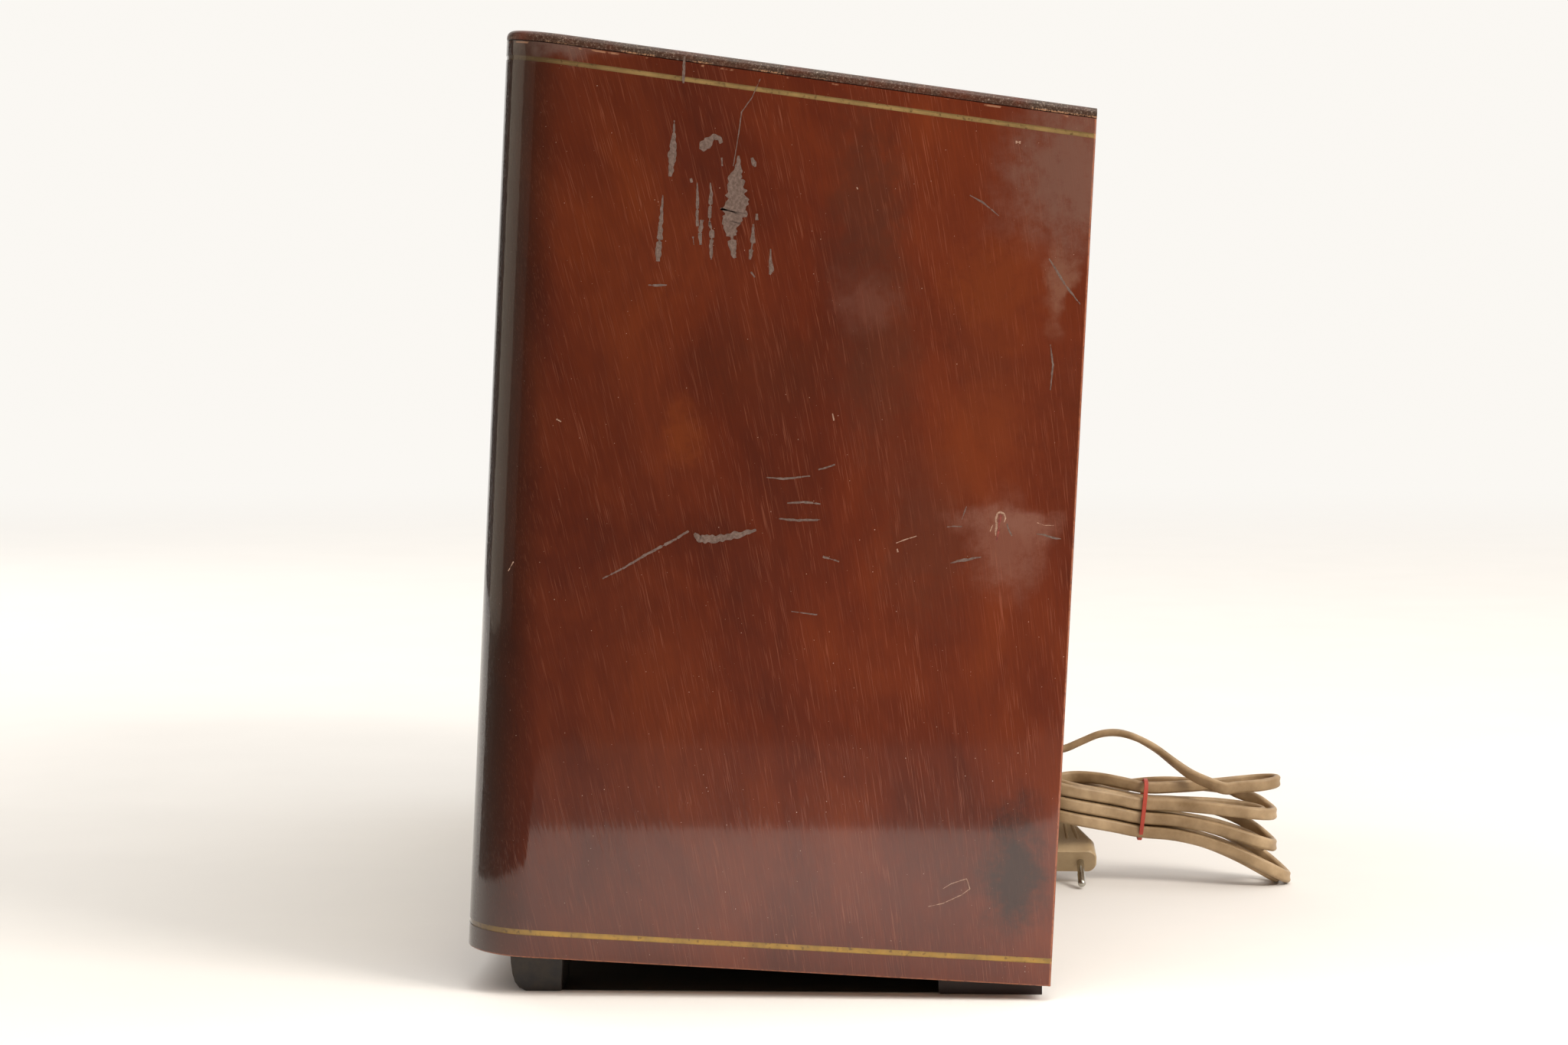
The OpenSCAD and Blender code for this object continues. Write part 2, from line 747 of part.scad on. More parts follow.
// Frame behind the dial: a scale plate with an arm to each side and a tab for the idler's stud, and the
// pointer's rail
module dial_frame() {
  low = dial_v - dial_h / 2;
  high = dial_v + dial_h / 2;
  color([0.93, 0.9, 0.8]) stand() {
    difference() {
      union() {
        translate([arm_left, scale_u, low]) cube([arm_right - arm_left, sheet_t, high - low]);
        facing(scale_u, sheet_t) translate([idler_x, (low + idler_v + 6) / 2]) round_rect(14, idler_v + 6 - low, 4);
      }
      shaft(eye_x, dial_v, scale_u - past, eye_r + near_gap, sheet_t + 2 * past);
    }
    for (x = [arm_left, arm_right - sheet_t]) {
      translate([x, scale_u, high - 24]) cube([sheet_t, chassis_u - scale_u, rail_v + 5 - high + 24]);
      translate([x, chassis_u - 12, knob_v + 12]) cube([sheet_t, 12, high - knob_v - 18]);
    }
    translate([arm_left, rail_u, rail_v]) rotate([0, 90, 0]) cylinder(r = rail_r, h = arm_right - arm_left);
    shaft(idler_x, idler_v, scale_u + 0.5, 2, drum_u + drum_t - scale_u);
  }
}

// The pointer: a needle before the scale, an arm over it that runs on the rail, and a clip at the cord
module dial_pointer() {
  x = string_x0;
  top = string_v + string_r + near_gap;
  color([0.75, 0.12, 0.08]) stand() difference() {
    union() {
      translate([x - needle_t / 2, needle_u, dial_v - dial_h / 2 + 6])
        cube([needle_t, needle_t, top - dial_v + dial_h / 2 - 5]);
      translate([x - 3, needle_u, top]) cube([6, string_u + 2 - needle_u, 1.2]);
      translate([x - 5, rail_u - 3.2, top]) cube([10, 6.4, rail_v - top + 2.6]);
    }
    translate([x - 6, rail_u, rail_v]) rotate([0, 90, 0]) cylinder(r = rail_r + run_gap, h = 12);
  }
}

// The tuning eye: a glass tube with a domed green face, seen through the dial
module tuning_eye() {
  color([0.35, 0.75, 0.4]) stand() translate([eye_x, eye_u, dial_v]) rotate([-90, 0, 0]) rotate_extrude()
    polygon([[0, 0], [eye_r * 0.5, 0.5], [eye_r - 1.5, 2.2], [eye_r, 4.5], [eye_r, drum_u - eye_u - 10],
      [eye_r - 2, drum_u - eye_u - 6], [0, drum_u - eye_u - 6]]);
}

string_x0 = idler_x + 40;
top_v = bottom_t + chassis_h;
rear_u = chassis_u + chassis_d;
valve_row = rear_u - 62;
valve_seat = top_v + 5;
tall_x = [-112, -72];
short_x = [-30, 22, 74];
can_x = [-4, 48, 100];
ferrite_x = 32;
ferrite_u = 140;
core_x = -165;
core_u = chassis_u + 55;
small_core_x = -40;
small_core_u = chassis_u + 34;
capacitor_x = -98;
capacitor_u = chassis_u + 24;

// A solid of revolution that stands upright on the chassis
module upright(x, u, v) {
  translate([x, u, v]) rotate_extrude() children();
}

// The chassis: a folded steel pan, open below, with a notch for the socket strip, valve sockets and the
// tuning shaft's bearing
module chassis() {
  w = chassis_w / 2;
  hole_r = valve_r + 0.5;
  color([0.72, 0.73, 0.74]) stand() {
    difference() {
      translate([-w, chassis_u, bottom_t]) cube([chassis_w, chassis_d, chassis_h]);
      translate([-w + sheet_t, chassis_u + sheet_t, bottom_t - past])
        cube([chassis_w - 2 * sheet_t, chassis_d - 2 * sheet_t, chassis_h - sheet_t + past]);
      for (x = concat(tall_x, short_x)) {
        translate([x, valve_row, top_v - 3]) cylinder(r = hole_r - 1, h = 5);
      }
      shaft(-knob_x, knob_v, chassis_u - past, bush_r + near_gap / 2, sheet_t + 2 * past);
      shaft(knob_x, knob_v, chassis_u - past, shaft_r + 2, sheet_t + 2 * past);
      translate([strip_x - strip_notch, rear_u - 3, bottom_t - past])
        cube([2 * strip_notch, 5, socket_v + socket_r + 3.3 - bottom_t + past]);
    }
    for (x = concat(tall_x, short_x)) translate([x, valve_row, top_v - 8]) difference() {
      union() {
        cylinder(r = hole_r - 1, h = 10);
        translate([0, 0, 8]) cylinder(r = hole_r + 1.5, h = 4);
      }
      translate([0, 0, 8]) cylinder(r = valve_r + near_gap / 2, h = 5);
    }
    translate([knob_x, chassis_u - 3, knob_v]) rotate([-90, 0, 0]) difference() {
      cylinder(r = shaft_r + 3, h = sheet_t + 6);
      translate([0, 0, -past]) cylinder(r = shaft_r + run_gap, h = sheet_t + 8);
    }
  }
}

// A transformer on the chassis: a laminated core with a coil through its window and two feet
module transformer(x, u, w, h, stack) {
  limb = w / 6;
  translate([x, u, top_v]) {
    translate([-w / 2, -stack / 2, 2]) cube([w, stack, h]);
    for (s = [-1, 1]) translate([0, s * (stack / 2 + limb * 0.7), 2 + h / 2]) rotate([90, 0, 0])
      linear_extrude(limb * 1.4 + 0.02, center = true) round_rect(w - 2 * limb - 2, h - 2 * limb, limb * 0.6);
    for (s = [-1, 1]) translate([s * (w / 2 + 3) - 7, -stack / 2 + 3, 0]) difference() {
      cube([14, stack - 6, 2]);
      translate([7 + s * 2.5, stack / 2 - 3, -past]) cylinder(r = 1.8, h = 4);
    }
  }
}

module mains_transformer() {
  color([0.25, 0.24, 0.24]) stand() transformer(core_x, core_u, core_w, core_h, core_stack);
}

module output_transformer() {
  color([0.3, 0.26, 0.22]) stand()
    transformer(small_core_x, small_core_u, small_core_w, small_core_h, small_core_stack);
}

// A glass valve: nine-pin base, straight envelope, dome and pip
module valve(x, height) {
  dome = valve_r * 0.6;
  upright(x, valve_row, valve_seat - 5 + near_gap) union() {
    polygon(concat([[0, 0], [valve_r, 0]],
      [for (a = [0 : 15 : 75]) [valve_r * cos(a), height - dome - 6 + dome * sin(a)]],
      [[2.4, height - 5.6], [1.6, height - 3], [0.8, height], [0, height]]));
  }
}

module power_valves() {
  color([0.6, 0.62, 0.6, 0.6]) stand() for (x = tall_x) valve(x, valve_tall);
}

module signal_valves() {
  color([0.6, 0.62, 0.6, 0.6]) stand() for (x = short_x) valve(x, valve_short);
}

// Three screening cans with an adjusting hole in the top
module if_cans() {
  color([0.8, 0.81, 0.82]) stand() for (x = can_x) translate([x, valve_row, top_v]) difference() {
    linear_extrude(can_h) round_rect(can_w, can_w, 2);
    translate([0, 0, can_h - 2]) cylinder(r = 2.5, h = 2 + past);
  }
}

// The box of the high band's tuner, with its own valve in a screening can
module fm_tuner() {
  x = chassis_w / 2 - 8 - tuner_w / 2;
  color([0.76, 0.77, 0.78]) stand() translate([x, rear_u - 22 - tuner_l / 2, top_v]) {
    translate([-tuner_w / 2, -tuner_l / 2, 0]) cube([tuner_w, tuner_l, tuner_h]);
    translate([0, 4, tuner_h]) cylinder(r = tuner_can_r, h = tuner_can_h);
  }
}

// The filter capacitor, an aluminium can on a fibre ring
module filter_capacitor() {
  r = capacitor_r;
  color([0.82, 0.83, 0.84]) stand() upright(capacitor_x, capacitor_u, top_v)
    polygon([[0, 0], [r + 1.5, 0], [r + 1.5, 2], [r, 2], [r, capacitor_h - 2], [r - 2, capacitor_h],
      [r - 5, capacitor_h], [r - 6, capacitor_h - 1.5], [0, capacitor_h - 1.5]]);
}

// The volume and tone control: a bush through the chassis wall, a nut, and the round housing
module volume_control() {
  bore = tube_r + run_gap;
  color([0.55, 0.5, 0.42]) stand() translate([-knob_x, chassis_u, knob_v]) rotate([-90, 0, 0]) difference() {
    union() {
      translate([0, 0, -5]) cylinder(r = bush_r, h = 5 + sheet_t + 1);
      translate([0, 0, -2.5 - near_gap]) cylinder(r = bush_r + 3, h = 2.5, $fn = 6);
      translate([0, 0, sheet_t + near_gap]) cylinder(r = 14, h = 22);
      translate([-8, 0, sheet_t + near_gap + 2]) cube([16, 18, 2]);
    }
    translate([0, 0, -6]) cylinder(r = bore, h = 6 + sheet_t + 4 + near_gap);
    translate([0, 0, -6]) cylinder(r = shaft_r + run_gap, h = 6 + sheet_t + 14 + near_gap);
  }
}

// The gang: a bent steel frame with end plates and the fixed half plates on two rods
module gang_frame() {
  u0 = inside_u + 5;
  low = top_v - gang_v;
  reach = gang_w / 2;
  plate_gap = (gang_l - 10) / plates;
  color([0.74, 0.75, 0.76]) stand() translate([gang_x, u0, gang_v]) {
    difference() {
      union() {
        for (u = [0, gang_l - 2]) facing(u, 2) gang_end(low, reach);
        translate([-reach, 0, low]) cube([2 * reach, gang_l, 1.5]);
      }
      translate([0, -past, 0]) rotate([-90, 0, 0]) cylinder(r = shaft_r + run_gap, h = gang_l + 2 * past);
    }
    for (v = [-7, 7]) shaft(-plate_r - 4.5, v, 1, 1.5, gang_l - 2);
    for (i = [0 : plates - 2]) facing(5 + plate_gap * (i + 1), 1) difference() {
      intersection() {
        circle(r = plate_r + 6.5);
        translate([-plate_r - 8, -plate_r * 0.9]) square([plate_r + 7.4, plate_r * 1.8]);
      }
      circle(r = shaft_r + 3);
    }
  }
}

// One end plate of the gang's frame
module gang_end(low, reach) {
  translate([-reach, low]) square([2 * reach, 8]);
  translate([-reach * 0.92, low]) square([2 * reach * 0.92, plate_r * 2 + 4]);
}

// The gang's rotor: a shaft with half-round plates that turn out from between the fixed ones
module gang_rotor() {
  u0 = inside_u + 5;
  plate_gap = (gang_l - 10) / plates;
  color([0.8, 0.8, 0.78]) stand() {
    shaft(gang_x, gang_v, drum_u - 3, shaft_r, u0 + gang_l + 3 - drum_u + 3);
    translate([gang_x, u0, gang_v]) for (i = [0 : plates - 1]) facing(5 + plate_gap * (i + 0.5), 1) difference() {
      circle(r = plate_r);
      translate([0.8, -plate_r - 1]) square([plate_r + 1, 2 * plate_r + 2]);
      circle(r = shaft_r - 0.5);
    }
  }
}

// The drive drum on the rotor's shaft: spokes, a hub, and two cord grooves in the rim
module drive_drum() {
  flange = drum_r + string_r + 0.4;
  floor_r = drum_r - string_r - near_gap;
  wide = string_r + near_gap;
  rim = floor_r - 4;
  color([0.86, 0.84, 0.78]) stand() translate([gang_x, drum_u, gang_v]) rotate([-90, 0, 0]) {
    rotate_extrude($fn = 96) polygon([[rim, 0], [flange, 0], [flange, drum_t / 4 - wide - 0.3],
      [floor_r, drum_t / 4 - wide], [floor_r, drum_t / 4 + wide], [flange, drum_t / 4 + wide + 0.3],
      [flange, drum_t * 3 / 4 - wide - 0.3], [floor_r, drum_t * 3 / 4 - wide], [floor_r, drum_t * 3 / 4 + wide],
      [flange, drum_t * 3 / 4 + wide + 0.3], [flange, drum_t], [rim, drum_t]]);
    difference() {
      union() {
        cylinder(r = 9, h = drum_t);
        translate([0, 0, drum_t / 2 - 1.5]) linear_extrude(3) for (a = [0 : 60 : 300]) {
          rotate(a) translate([8, -3]) square([rim - 7, 6]);
        }
      }
      translate([0, 0, -past]) cylinder(r = shaft_r + run_gap, h = drum_t + 2 * past);
    }
  }
}

// The idler pulley at the left end of the dial
module idler_pulley() {
  flange = idler_r + string_r + 0.4;
  floor_r = idler_r - string_r - near_gap;
  wide = string_r + near_gap;
  color([0.86, 0.84, 0.78]) stand() translate([idler_x, string_u, idler_v]) rotate([-90, 0, 0])
    rotate_extrude() polygon([[2 + run_gap, -2], [flange, -2], [flange, -wide - 0.3], [floor_r, -wide],
      [floor_r, wide], [flange, wide + 0.3], [flange, 2], [2 + run_gap, 2]]);
}

// The dial cord: one loop round drum and idler that carries the pointer, one round drum and spindle
module dial_cord() {
  color([0.5, 0.42, 0.3]) stand() {
    loop(string_u, [gang_x, gang_v], drum_r, [idler_x, idler_v], idler_r);
    loop(spindle_u, [gang_x, gang_v], drum_r, [knob_x, knob_v], spindle_r);
  }
}

// A taut loop of cord round two wheels, as a flat band
module loop(u, a, ra, b, rb) {
  facing(u - string_r, 2 * string_r) difference() {
    loop_outline(a, ra + string_r, b, rb + string_r);
    loop_outline(a, ra - string_r, b, rb - string_r);
  }
}

// Outline round two wheels: an arc on each, joined by the outer tangents
module loop_outline(a, ra, b, rb) {
  gap = norm(b - a);
  way = atan2(b[1] - a[1], b[0] - a[0]);
  lift = acos((ra - rb) / gap);
  polygon(concat([for (i = [0 : 48]) a + ra * dir(way + lift + (360 - 2 * lift) * i / 48)],
    [for (i = [0 : 16]) b + rb * dir(way - lift + 2 * lift * i / 16)]));
}

// Unit vector at an angle
function dir(a) = [cos(a), sin(a)];

// The loudspeaker's frame: a rim on the board, a ribbed basket and the magnet at its back
module speaker_frame() {
  neck = magnet_r - 8;
  color([0.5, 0.52, 0.54]) stand() translate([0, behind_baffle, speaker_v]) rotate([-90, 0, 0]) {
    difference() {
      rotate_extrude($fn = 96) polygon([[speaker_r - 9, 0], [speaker_r, 0], [speaker_r, 2.5], [speaker_r - 7, 2.5],
        [neck + 3, speaker_l], [neck + 3, speaker_l + 2], [neck - 12, speaker_l + 2], [neck - 12, speaker_l],
        [neck, speaker_l], [speaker_r - 9, 2]]);
      for (a = [0 : 60 : 300]) rotate(a + 30) translate([(speaker_r + neck) / 2 - 4, 0, -past])
        linear_extrude(speaker_l - 4) round_rect(speaker_r - neck - 22, 34, 5);
      for (a = [45 : 90 : 315]) rotate(a) translate([speaker_r - 4, 0, -past]) cylinder(r = 1.8, h = 5);
    }
    difference() {
      translate([0, 0, speaker_l + 2]) cylinder(r = magnet_r, h = magnet_l);
      translate([0, 0, speaker_l]) cylinder(r = 13.5, h = 14);
    }
    translate([0, 0, speaker_l - 6]) cylinder(r = 11.6, h = 8 + magnet_l - 2);
  }
}

// The paper cone with its corrugated edge, voice coil and dust cap
module speaker_cone() {
  mouth = speaker_r - 10.3;
  depth = speaker_l - 12;
  color([0.2, 0.19, 0.18]) stand() translate([0, behind_baffle, speaker_v]) rotate([-90, 0, 0])
    rotate_extrude($fn = 96) polygon([[mouth + 1, 0.4], [mouth - 2, -1], [mouth - 5, 0.4], [mouth - 8, -1],
      [mouth - 11, 0.6], [14, depth - 2], [10, depth - 6], [5, depth - 7.5], [0, depth - 8], [0, depth - 7],
      [5, depth - 6.4], [10, depth - 4.8], [12, depth], [12, speaker_l + 8], [12.8, speaker_l + 8],
      [12.8, depth + 1], [15, depth - 0.6], [mouth - 10, 2], [mouth - 8, 0.4], [mouth - 5, 1.6],
      [mouth - 2, 0.4], [mouth + 1, 1.6]]);
}

// Two dial lamps in clips on the back of the scale plate
module dial_lamps() {
  color([0.95, 0.85, 0.6]) stand() for (x = [-lamp_x, lamp_x]) translate([x, scale_u + sheet_t, dial_v + 12]) {
    translate([-6, 0, -8]) cube([12, 1.5, 16]);
    rotate([-90, 0, 0]) cylinder(r = 4.6, h = 11);
    rotate([-90, 0, 0]) rotate_extrude() polygon(concat([[0, 10.9], [4.6, 10.9], [3.4, 12]],
      [for (a = [-30 : 15 : 75]) [5.4 * cos(a), 16 + 5.4 * sin(a)]], [[0, 21.4]]));
  }
}

// The ferrite rod with its coils, that the aerial ring turns about an upright pin
module ferrite_rod() {
  color([0.18, 0.17, 0.18]) stand() translate([ferrite_x, ferrite_u, ferrite_v]) {
    rotate([0, 90, 0]) cylinder(r = ferrite_r, h = 2 * ferrite_half, center = true);
    for (s = [-1, 1]) translate([s * ferrite_half * 0.62, 0, 0]) rotate([0, 90, 0]) {
      cylinder(r = ferrite_r + 1.6, h = 26, center = true);
      for (e = [-1, 1]) translate([0, 0, e * 14]) cylinder(r = ferrite_r + 2.6, h = 2, center = true);
    }
    difference() {
      translate([-7, -7, -ferrite_r - 5]) cube([14, 14, ferrite_r + 7]);
      translate([0, 0, -ferrite_r - 6]) cylinder(r = 2.5 + run_gap, h = 5);
    }
  }
}

// The bracket of the ferrite rod: a post on the chassis with a pin on which the rod turns
module ferrite_bracket() {
  seat = ferrite_v - ferrite_r - 5;
  color([0.72, 0.73, 0.74]) stand() translate([ferrite_x, ferrite_u, top_v]) {
    translate([-9, -7, 0]) cube([18, 14, sheet_t]);
    translate([-6, -1.5, 0]) cube([12, 3, seat - top_v - near_gap]);
    translate([-7, -7, seat - top_v - near_gap - 2]) cube([14, 14, 2]);
    translate([0, 0, seat - top_v - near_gap - 1]) cylinder(r = 2.5, h = 4.5);
  }
}

back_u = body_d - back_inset - back_t;
back_w = body_w - 2 * side_t - 2;
back_low = 3;
back_high = top_at(body_d) - inner_top - 1;
socket_v = 42;
screw_v = [back_low + 18, (back_low + back_high) / 2, back_high - 18];
screw_x = back_w / 2 - 7;
strip_x = 60;
strip_notch = 1.5 * socket_pitch + 8 + socket_r + 3.3;
gland_x = -20;
gland_v = 60;
gland_r = 6.5;

// Places of the aerial and gramophone sockets along the strip
function socket_places() = [for (i = [-2, -1, 1, 2]) strip_x + (i - (i > 0 ? 0.5 : -0.5)) * socket_pitch
  + (i > 0 ? 8 : -8)];

// The hardboard back: rows of vent slots, a window for the sockets, and holes for screws and cord
module back_panel() {
  rows = [back_high - 36, back_high - 36 - slot_l - 14, back_high - 36 - 2 * (slot_l + 14)];
  color([0.4, 0.27, 0.17]) stand() facing(back_u, back_t) difference() {
    translate([0, (back_low + back_high) / 2]) round_rect(back_w, back_high - back_low, 4);
    for (v = rows, i = [0 : slots - 1]) {
      translate([(i - (slots - 1) / 2) * slot_pitch, v]) round_rect(slot_w, slot_l, slot_w / 2 - 0.01);
    }
    translate([strip_x, socket_v]) round_rect(4 * socket_pitch + 26, 26, 4);
    for (s = [-1, 1], v = screw_v) translate([s * screw_x, v]) circle(r = 1.9);
    translate([gland_x, gland_v]) circle(r = gland_r);
    for (i = [0 : 6]) translate([-170 + i * 18, 60]) round_rect(slot_w, slot_l, slot_w / 2 - 0.01);
  }
}

// Wooden battens inside the sides that the back is screwed to
module back_battens() {
  x0 = back_w / 2 + 1 - near_gap - batten;
  color([0.6, 0.45, 0.3]) stand() for (s = [-1, 1]) difference() {
    translate([s > 0 ? x0 : -x0 - batten, back_u - batten, bottom_t]) cube([batten, batten, back_high - bottom_t]);
    for (v = screw_v) shaft(s * screw_x, v, back_u - batten - past, 1.45, batten + 2 * past);
  }
}

// Round-headed screws through the back into the battens
module back_screws() {
  u = back_u + back_t;
  color([0.7, 0.68, 0.6]) stand() for (s = [-1, 1], v = screw_v) {
    translate([s * screw_x, u, v]) rotate([-90, 0, 0]) rotate_extrude()
      polygon([[0, -9], [1.4, -9], [1.4, 0], [3.6, 0], [3.3, 1], [2.2, 1.8], [0, 2]]);
  }
}

// The strip with two pairs of sockets for aerial and earth, each with its bore
module socket_strip() {
  color([0.45, 0.3, 0.15]) stand() difference() {
    union() {
      facing(rear_u, 3) translate([strip_x, socket_v]) round_rect(4 * socket_pitch + 22, 22, 3);
      for (x = socket_places()) {
        shaft(x, socket_v, rear_u + 3 - socket_l, socket_r + 1.8, socket_l);
        shaft(x, socket_v, rear_u, socket_r + 2.6, 5.5);
      }
    }
    for (x = socket_places()) shaft(x, socket_v, rear_u + 2 - socket_l + 2, socket_r, socket_l + 6);
  }
}

// Rubber grommet in the back, a short cone that the cord leaves square to the depth
module cord_grommet() {
  color([0.12, 0.11, 0.1]) intersection() {
    stand() translate([gland_x, back_u, gland_v]) rotate([-90, 0, 0]) difference() {
      rotate_extrude() polygon([[0, -6], [gland_r + 2, -6], [gland_r + 2, -near_gap], [gland_r - near_gap, -near_gap],
        [gland_r - near_gap, back_t + near_gap], [gland_r + 2.5, back_t + near_gap],
        [gland_r + 2.5, back_t + 2.5], [gland_r, back_t + 4], [4.6, 22], [0, 22]]);
      translate([0, 0, -8]) linear_extrude(9) round_rect(cord_w + 0.4, cord_t + 0.4, 1.8);
    }
    translate([gland_x - 20, 0, 0]) cube([40, cord_start[1], 200]);
  }
}

// Routes of the cord's free stretches: x, y, z and the roll of the flat side, in degrees
lead_route = [[-20, 130, 65.7, 0], [-20, 137, 66, 0], [-19, 146, 70, 0], [-17, 155, 74, 0], [-15, 164, 75, 0],
  [-12, 173, 73, 10], [-8, 183, 68, 25], [-3, 192, 61.5, 40], [1, 200, 56, 60], [5, 208, 52.5, 75]];
tail_route = [[-17, 206, 48, 90], [-21, 194, 48.5, 90], [-26, 181, 47.5, 90], [-31, 168, 45, 90],
  [-35, 156, 41.5, 85], [-36, 147, 39, 70], [-34.5, 140.5, 37, 45], [-31.5, 136.8, 34.8, 20]];
cord_start = lead_route[0];

// Length-wise direction at point i of a list of points
function along(p, i) = let(a = p[max(i - 1, 0)], b = p[min(i + 1, len(p) - 1)])
  unit([b[0] - a[0], b[1] - a[1], b[2] - a[2]]);
function unit(v) = v / norm(v);

// Direction of the flat side: level and square to the run, then rolled
function flat_way(t, roll) = let(side = unit(cross(t, [0, 0, 1]))) cos(roll) * side + sin(roll) * cross(side, t);

// Corners of the section at point i, for a number of sides
function section(p, i, sides) = let(
  t = along(p, i),
  wide = flat_way(t, p[i][3]),
  thin = cross(t, wide),
  first = sides == 6 ? 0 : 180 / sides,
  grow_w = cord_w / 2 / cos(first),
  grow_t = cord_t / 2 / (sides == 6 ? sin(60) : cos(first)))
  [for (k = [0 : sides - 1]) let(a = first + 360 * k / sides)
    [p[i][0], p[i][1], p[i][2]] + wide * grow_w * cos(a) + thin * grow_t * sin(a)];

// A closed tube through the points, its ends flat
module tube_along(p, sides) {
  n = len(p);
  rings = [for (i = [0 : n - 1]) each section(p, i, sides)];
  walls = [for (i = [0 : n - 2], k = [0 : sides - 1]) let(a = i * sides + k, b = i * sides + (k + 1) % sides)
    each [[a, b, b + sides], [a, b + sides, a + sides]]];
  start = [for (k = [1 : sides - 2]) [0, k + 1, k]];
  last = (n - 1) * sides;
  finish = [for (k = [1 : sides - 2]) [last, last + k, last + k + 1]];
  polyhedron(points = rings, faces = concat(walls, start, finish));
}

module cord_lead() {
  color([0.72, 0.6, 0.46]) tube_along(lead, 8);
}

module cord_tail() {
  color([0.72, 0.6, 0.46]) tube_along(tail, 8);
}

// The hank lies behind the radio: its turns lie the same way, drawn in at the band, in two layers
hank_x = 0;
hank_y = 176;
hank_z = 37.5;
hank_right = 66;
hank_left = 50;
hank_steps = 24;
hank_start = 0.87;
hank_end = 7.14;
top_level = 3;
layer_gap = 5.5;
waist_outer = 7.1;
waist_inner = 2.5;
lobe_outer = 27;
lobe_inner = 22.6;
waist_step = 7.2;
right_step = 9.2;
left_step = -0.3;
droop = 9.5;
rise = 10.5;

// Smooth step from 0 to 1 between a and b
function ease(x, a, b) = let(s = max(0, min(1, (x - a) / (b - a)))) s * s * (3 - 2 * s);
function part(t) = t - floor(t);

// Level of the cord at turn t: down through the inner layer, then up through the outer one
function level(t) = t < 4.5 ? top_level - max(0, min(top_level, floor(t) - 1 + ease(part(t), 0.28, 0.5)))
  : t < 5 ? 0 : min(top_level, floor(t) - 5 + ease(part(t), 0, 0.25));
// 1 in the inner layer, 0 in the outer one
function inner(t) = 1 - ease(t, 4.14, 4.42);

// Middle of the cord at turn t, counted from the right end of the first turn
function hank_point(t) = let(
  a = -360 * t,
  c = cos(a),
  s = sin(a),
  q = level(t) - top_level / 2,
  in = inner(t),
  waist = waist_outer + in * (waist_inner - waist_outer),
  lobe = lobe_outer + in * (lobe_inner - lobe_outer),
  reach = (c > 0 ? hank_right + 3.6 * q * q : hank_left) - in * layer_gap,
  sag = c > 0 ? -droop * c * c : -rise * c,
  step = waist_step + (c > 0 ? right_step : left_step) * c * c)
  [hank_x + s * (waist + lobe * c * c), hank_y + reach * c, hank_z + sag + q * step, 90];

hank_turns = [for (i = [0 : round((hank_end - hank_start) * hank_steps)]) hank_point(hank_start + i / hank_steps)];

// A point beyond an end of the hank, in line with it
function place(p) = [p[0], p[1], p[2]];
function beyond(p, q) = concat(place(p) + cord_w * unit(place(p) - place(q)), [90]);
hank_last = len(hank_turns) - 1;
lead = concat(lead_route, [beyond(hank_turns[0], hank_turns[1]), hank_turns[0]]);

// The plug's pin face, its tilt towards the table, and the length of its body
plug_at = [8.5, 135, 11.5];
plug_tilt = 30;
plug_l = 34;
plug_way = [cos(plug_tilt), 0, -sin(plug_tilt)];
plug_rear = plug_at - plug_l * plug_way;
tail = concat([hank_turns[hank_last], beyond(hank_turns[hank_last], hank_turns[hank_last - 1])], tail_route,
  [concat(plug_rear - 8 * plug_way, [0]), concat(plug_rear, [0])]);

// Least gap between two stretches of the hank that aren't neighbours, flat sides upright
function gap_at(p, q) = max(abs(p[2] - q[2]) - cord_w, norm([p[0] - q[0], p[1] - q[1]]) - cord_t);
hank_gap = min([for (i = [0 : hank_last - 9], j = [i + 9 : hank_last]) gap_at(hank_turns[i], hank_turns[j])]);
function length_of(p, i = 0) = i >= len(p) - 1 ? 0 : norm(place(p[i + 1]) - place(p[i])) + length_of(p, i + 1);

module cord_hank() {
  echo(hank_gap = hank_gap, hank = length_of(hank_turns), lead = length_of(lead), tail = length_of(tail));
  color([0.72, 0.6, 0.46]) tube_along(hank_turns, 6);
}

// The red rubber band round the hank's waist
module cord_band() {
  w = 2 * (waist_outer + cord_t / 2 + near_gap + 1);
  h = top_level * waist_step + cord_w + 2 * near_gap + 1;
  color([0.75, 0.2, 0.13]) translate([hank_x, hank_y + band_w / 2, hank_z]) rotate([90, 0, 0])
    linear_extrude(band_w) difference() {
      round_rect(w + 2 * band_t, h + 2 * band_t, 5 + band_t);
      round_rect(w, h, 5);
    }
}

// Puts a piece in the plug's own frame: z along the pins, x across its thickness, y across its width
module plugged() {
  translate(plug_at) rotate([0, 90 + plug_tilt, 0]) children();
}

// Outline of the plug's body at a distance behind the pin face
module plug_slice(back, width, thick, r) {
  translate([0, 0, -back]) linear_extrude(0.01) hull() for (sx = [-1, 1], sy = [-1, 1]) {
    translate([sx * (thick / 2 - r), sy * (width / 2 - r)]) circle(r = r, $fn = 32);
  }
}

// The moulded plug: broad at the pins, drawn in to the cord, with grip ribs on both faces
module plug_body() {
  color([0.76, 0.64, 0.48]) plugged() {
    hull() {
      plug_slice(0.01, 33, 12.5, 4);
      plug_slice(1, 34.5, 13.5, 5);
      plug_slice(11, 33, 13.5, 5);
    }
    hull() {
      plug_slice(11, 33, 13.5, 5);
      plug_slice(24, 18, 11.5, 4);
    }
    hull() {
      plug_slice(24, 18, 11.5, 4);
      plug_slice(plug_l, 9, 7.5, 3);
    }
    for (s = [-1, 1], y = [-6, -2, 2, 6]) hull() for (back = [11, 23]) {
      translate([s * (back == 11 ? 6.6 : 5.7), y * (back == 11 ? 1.3 : 0.9), -back]) sphere(r = 0.9, $fn = 16);
    }
  }
}

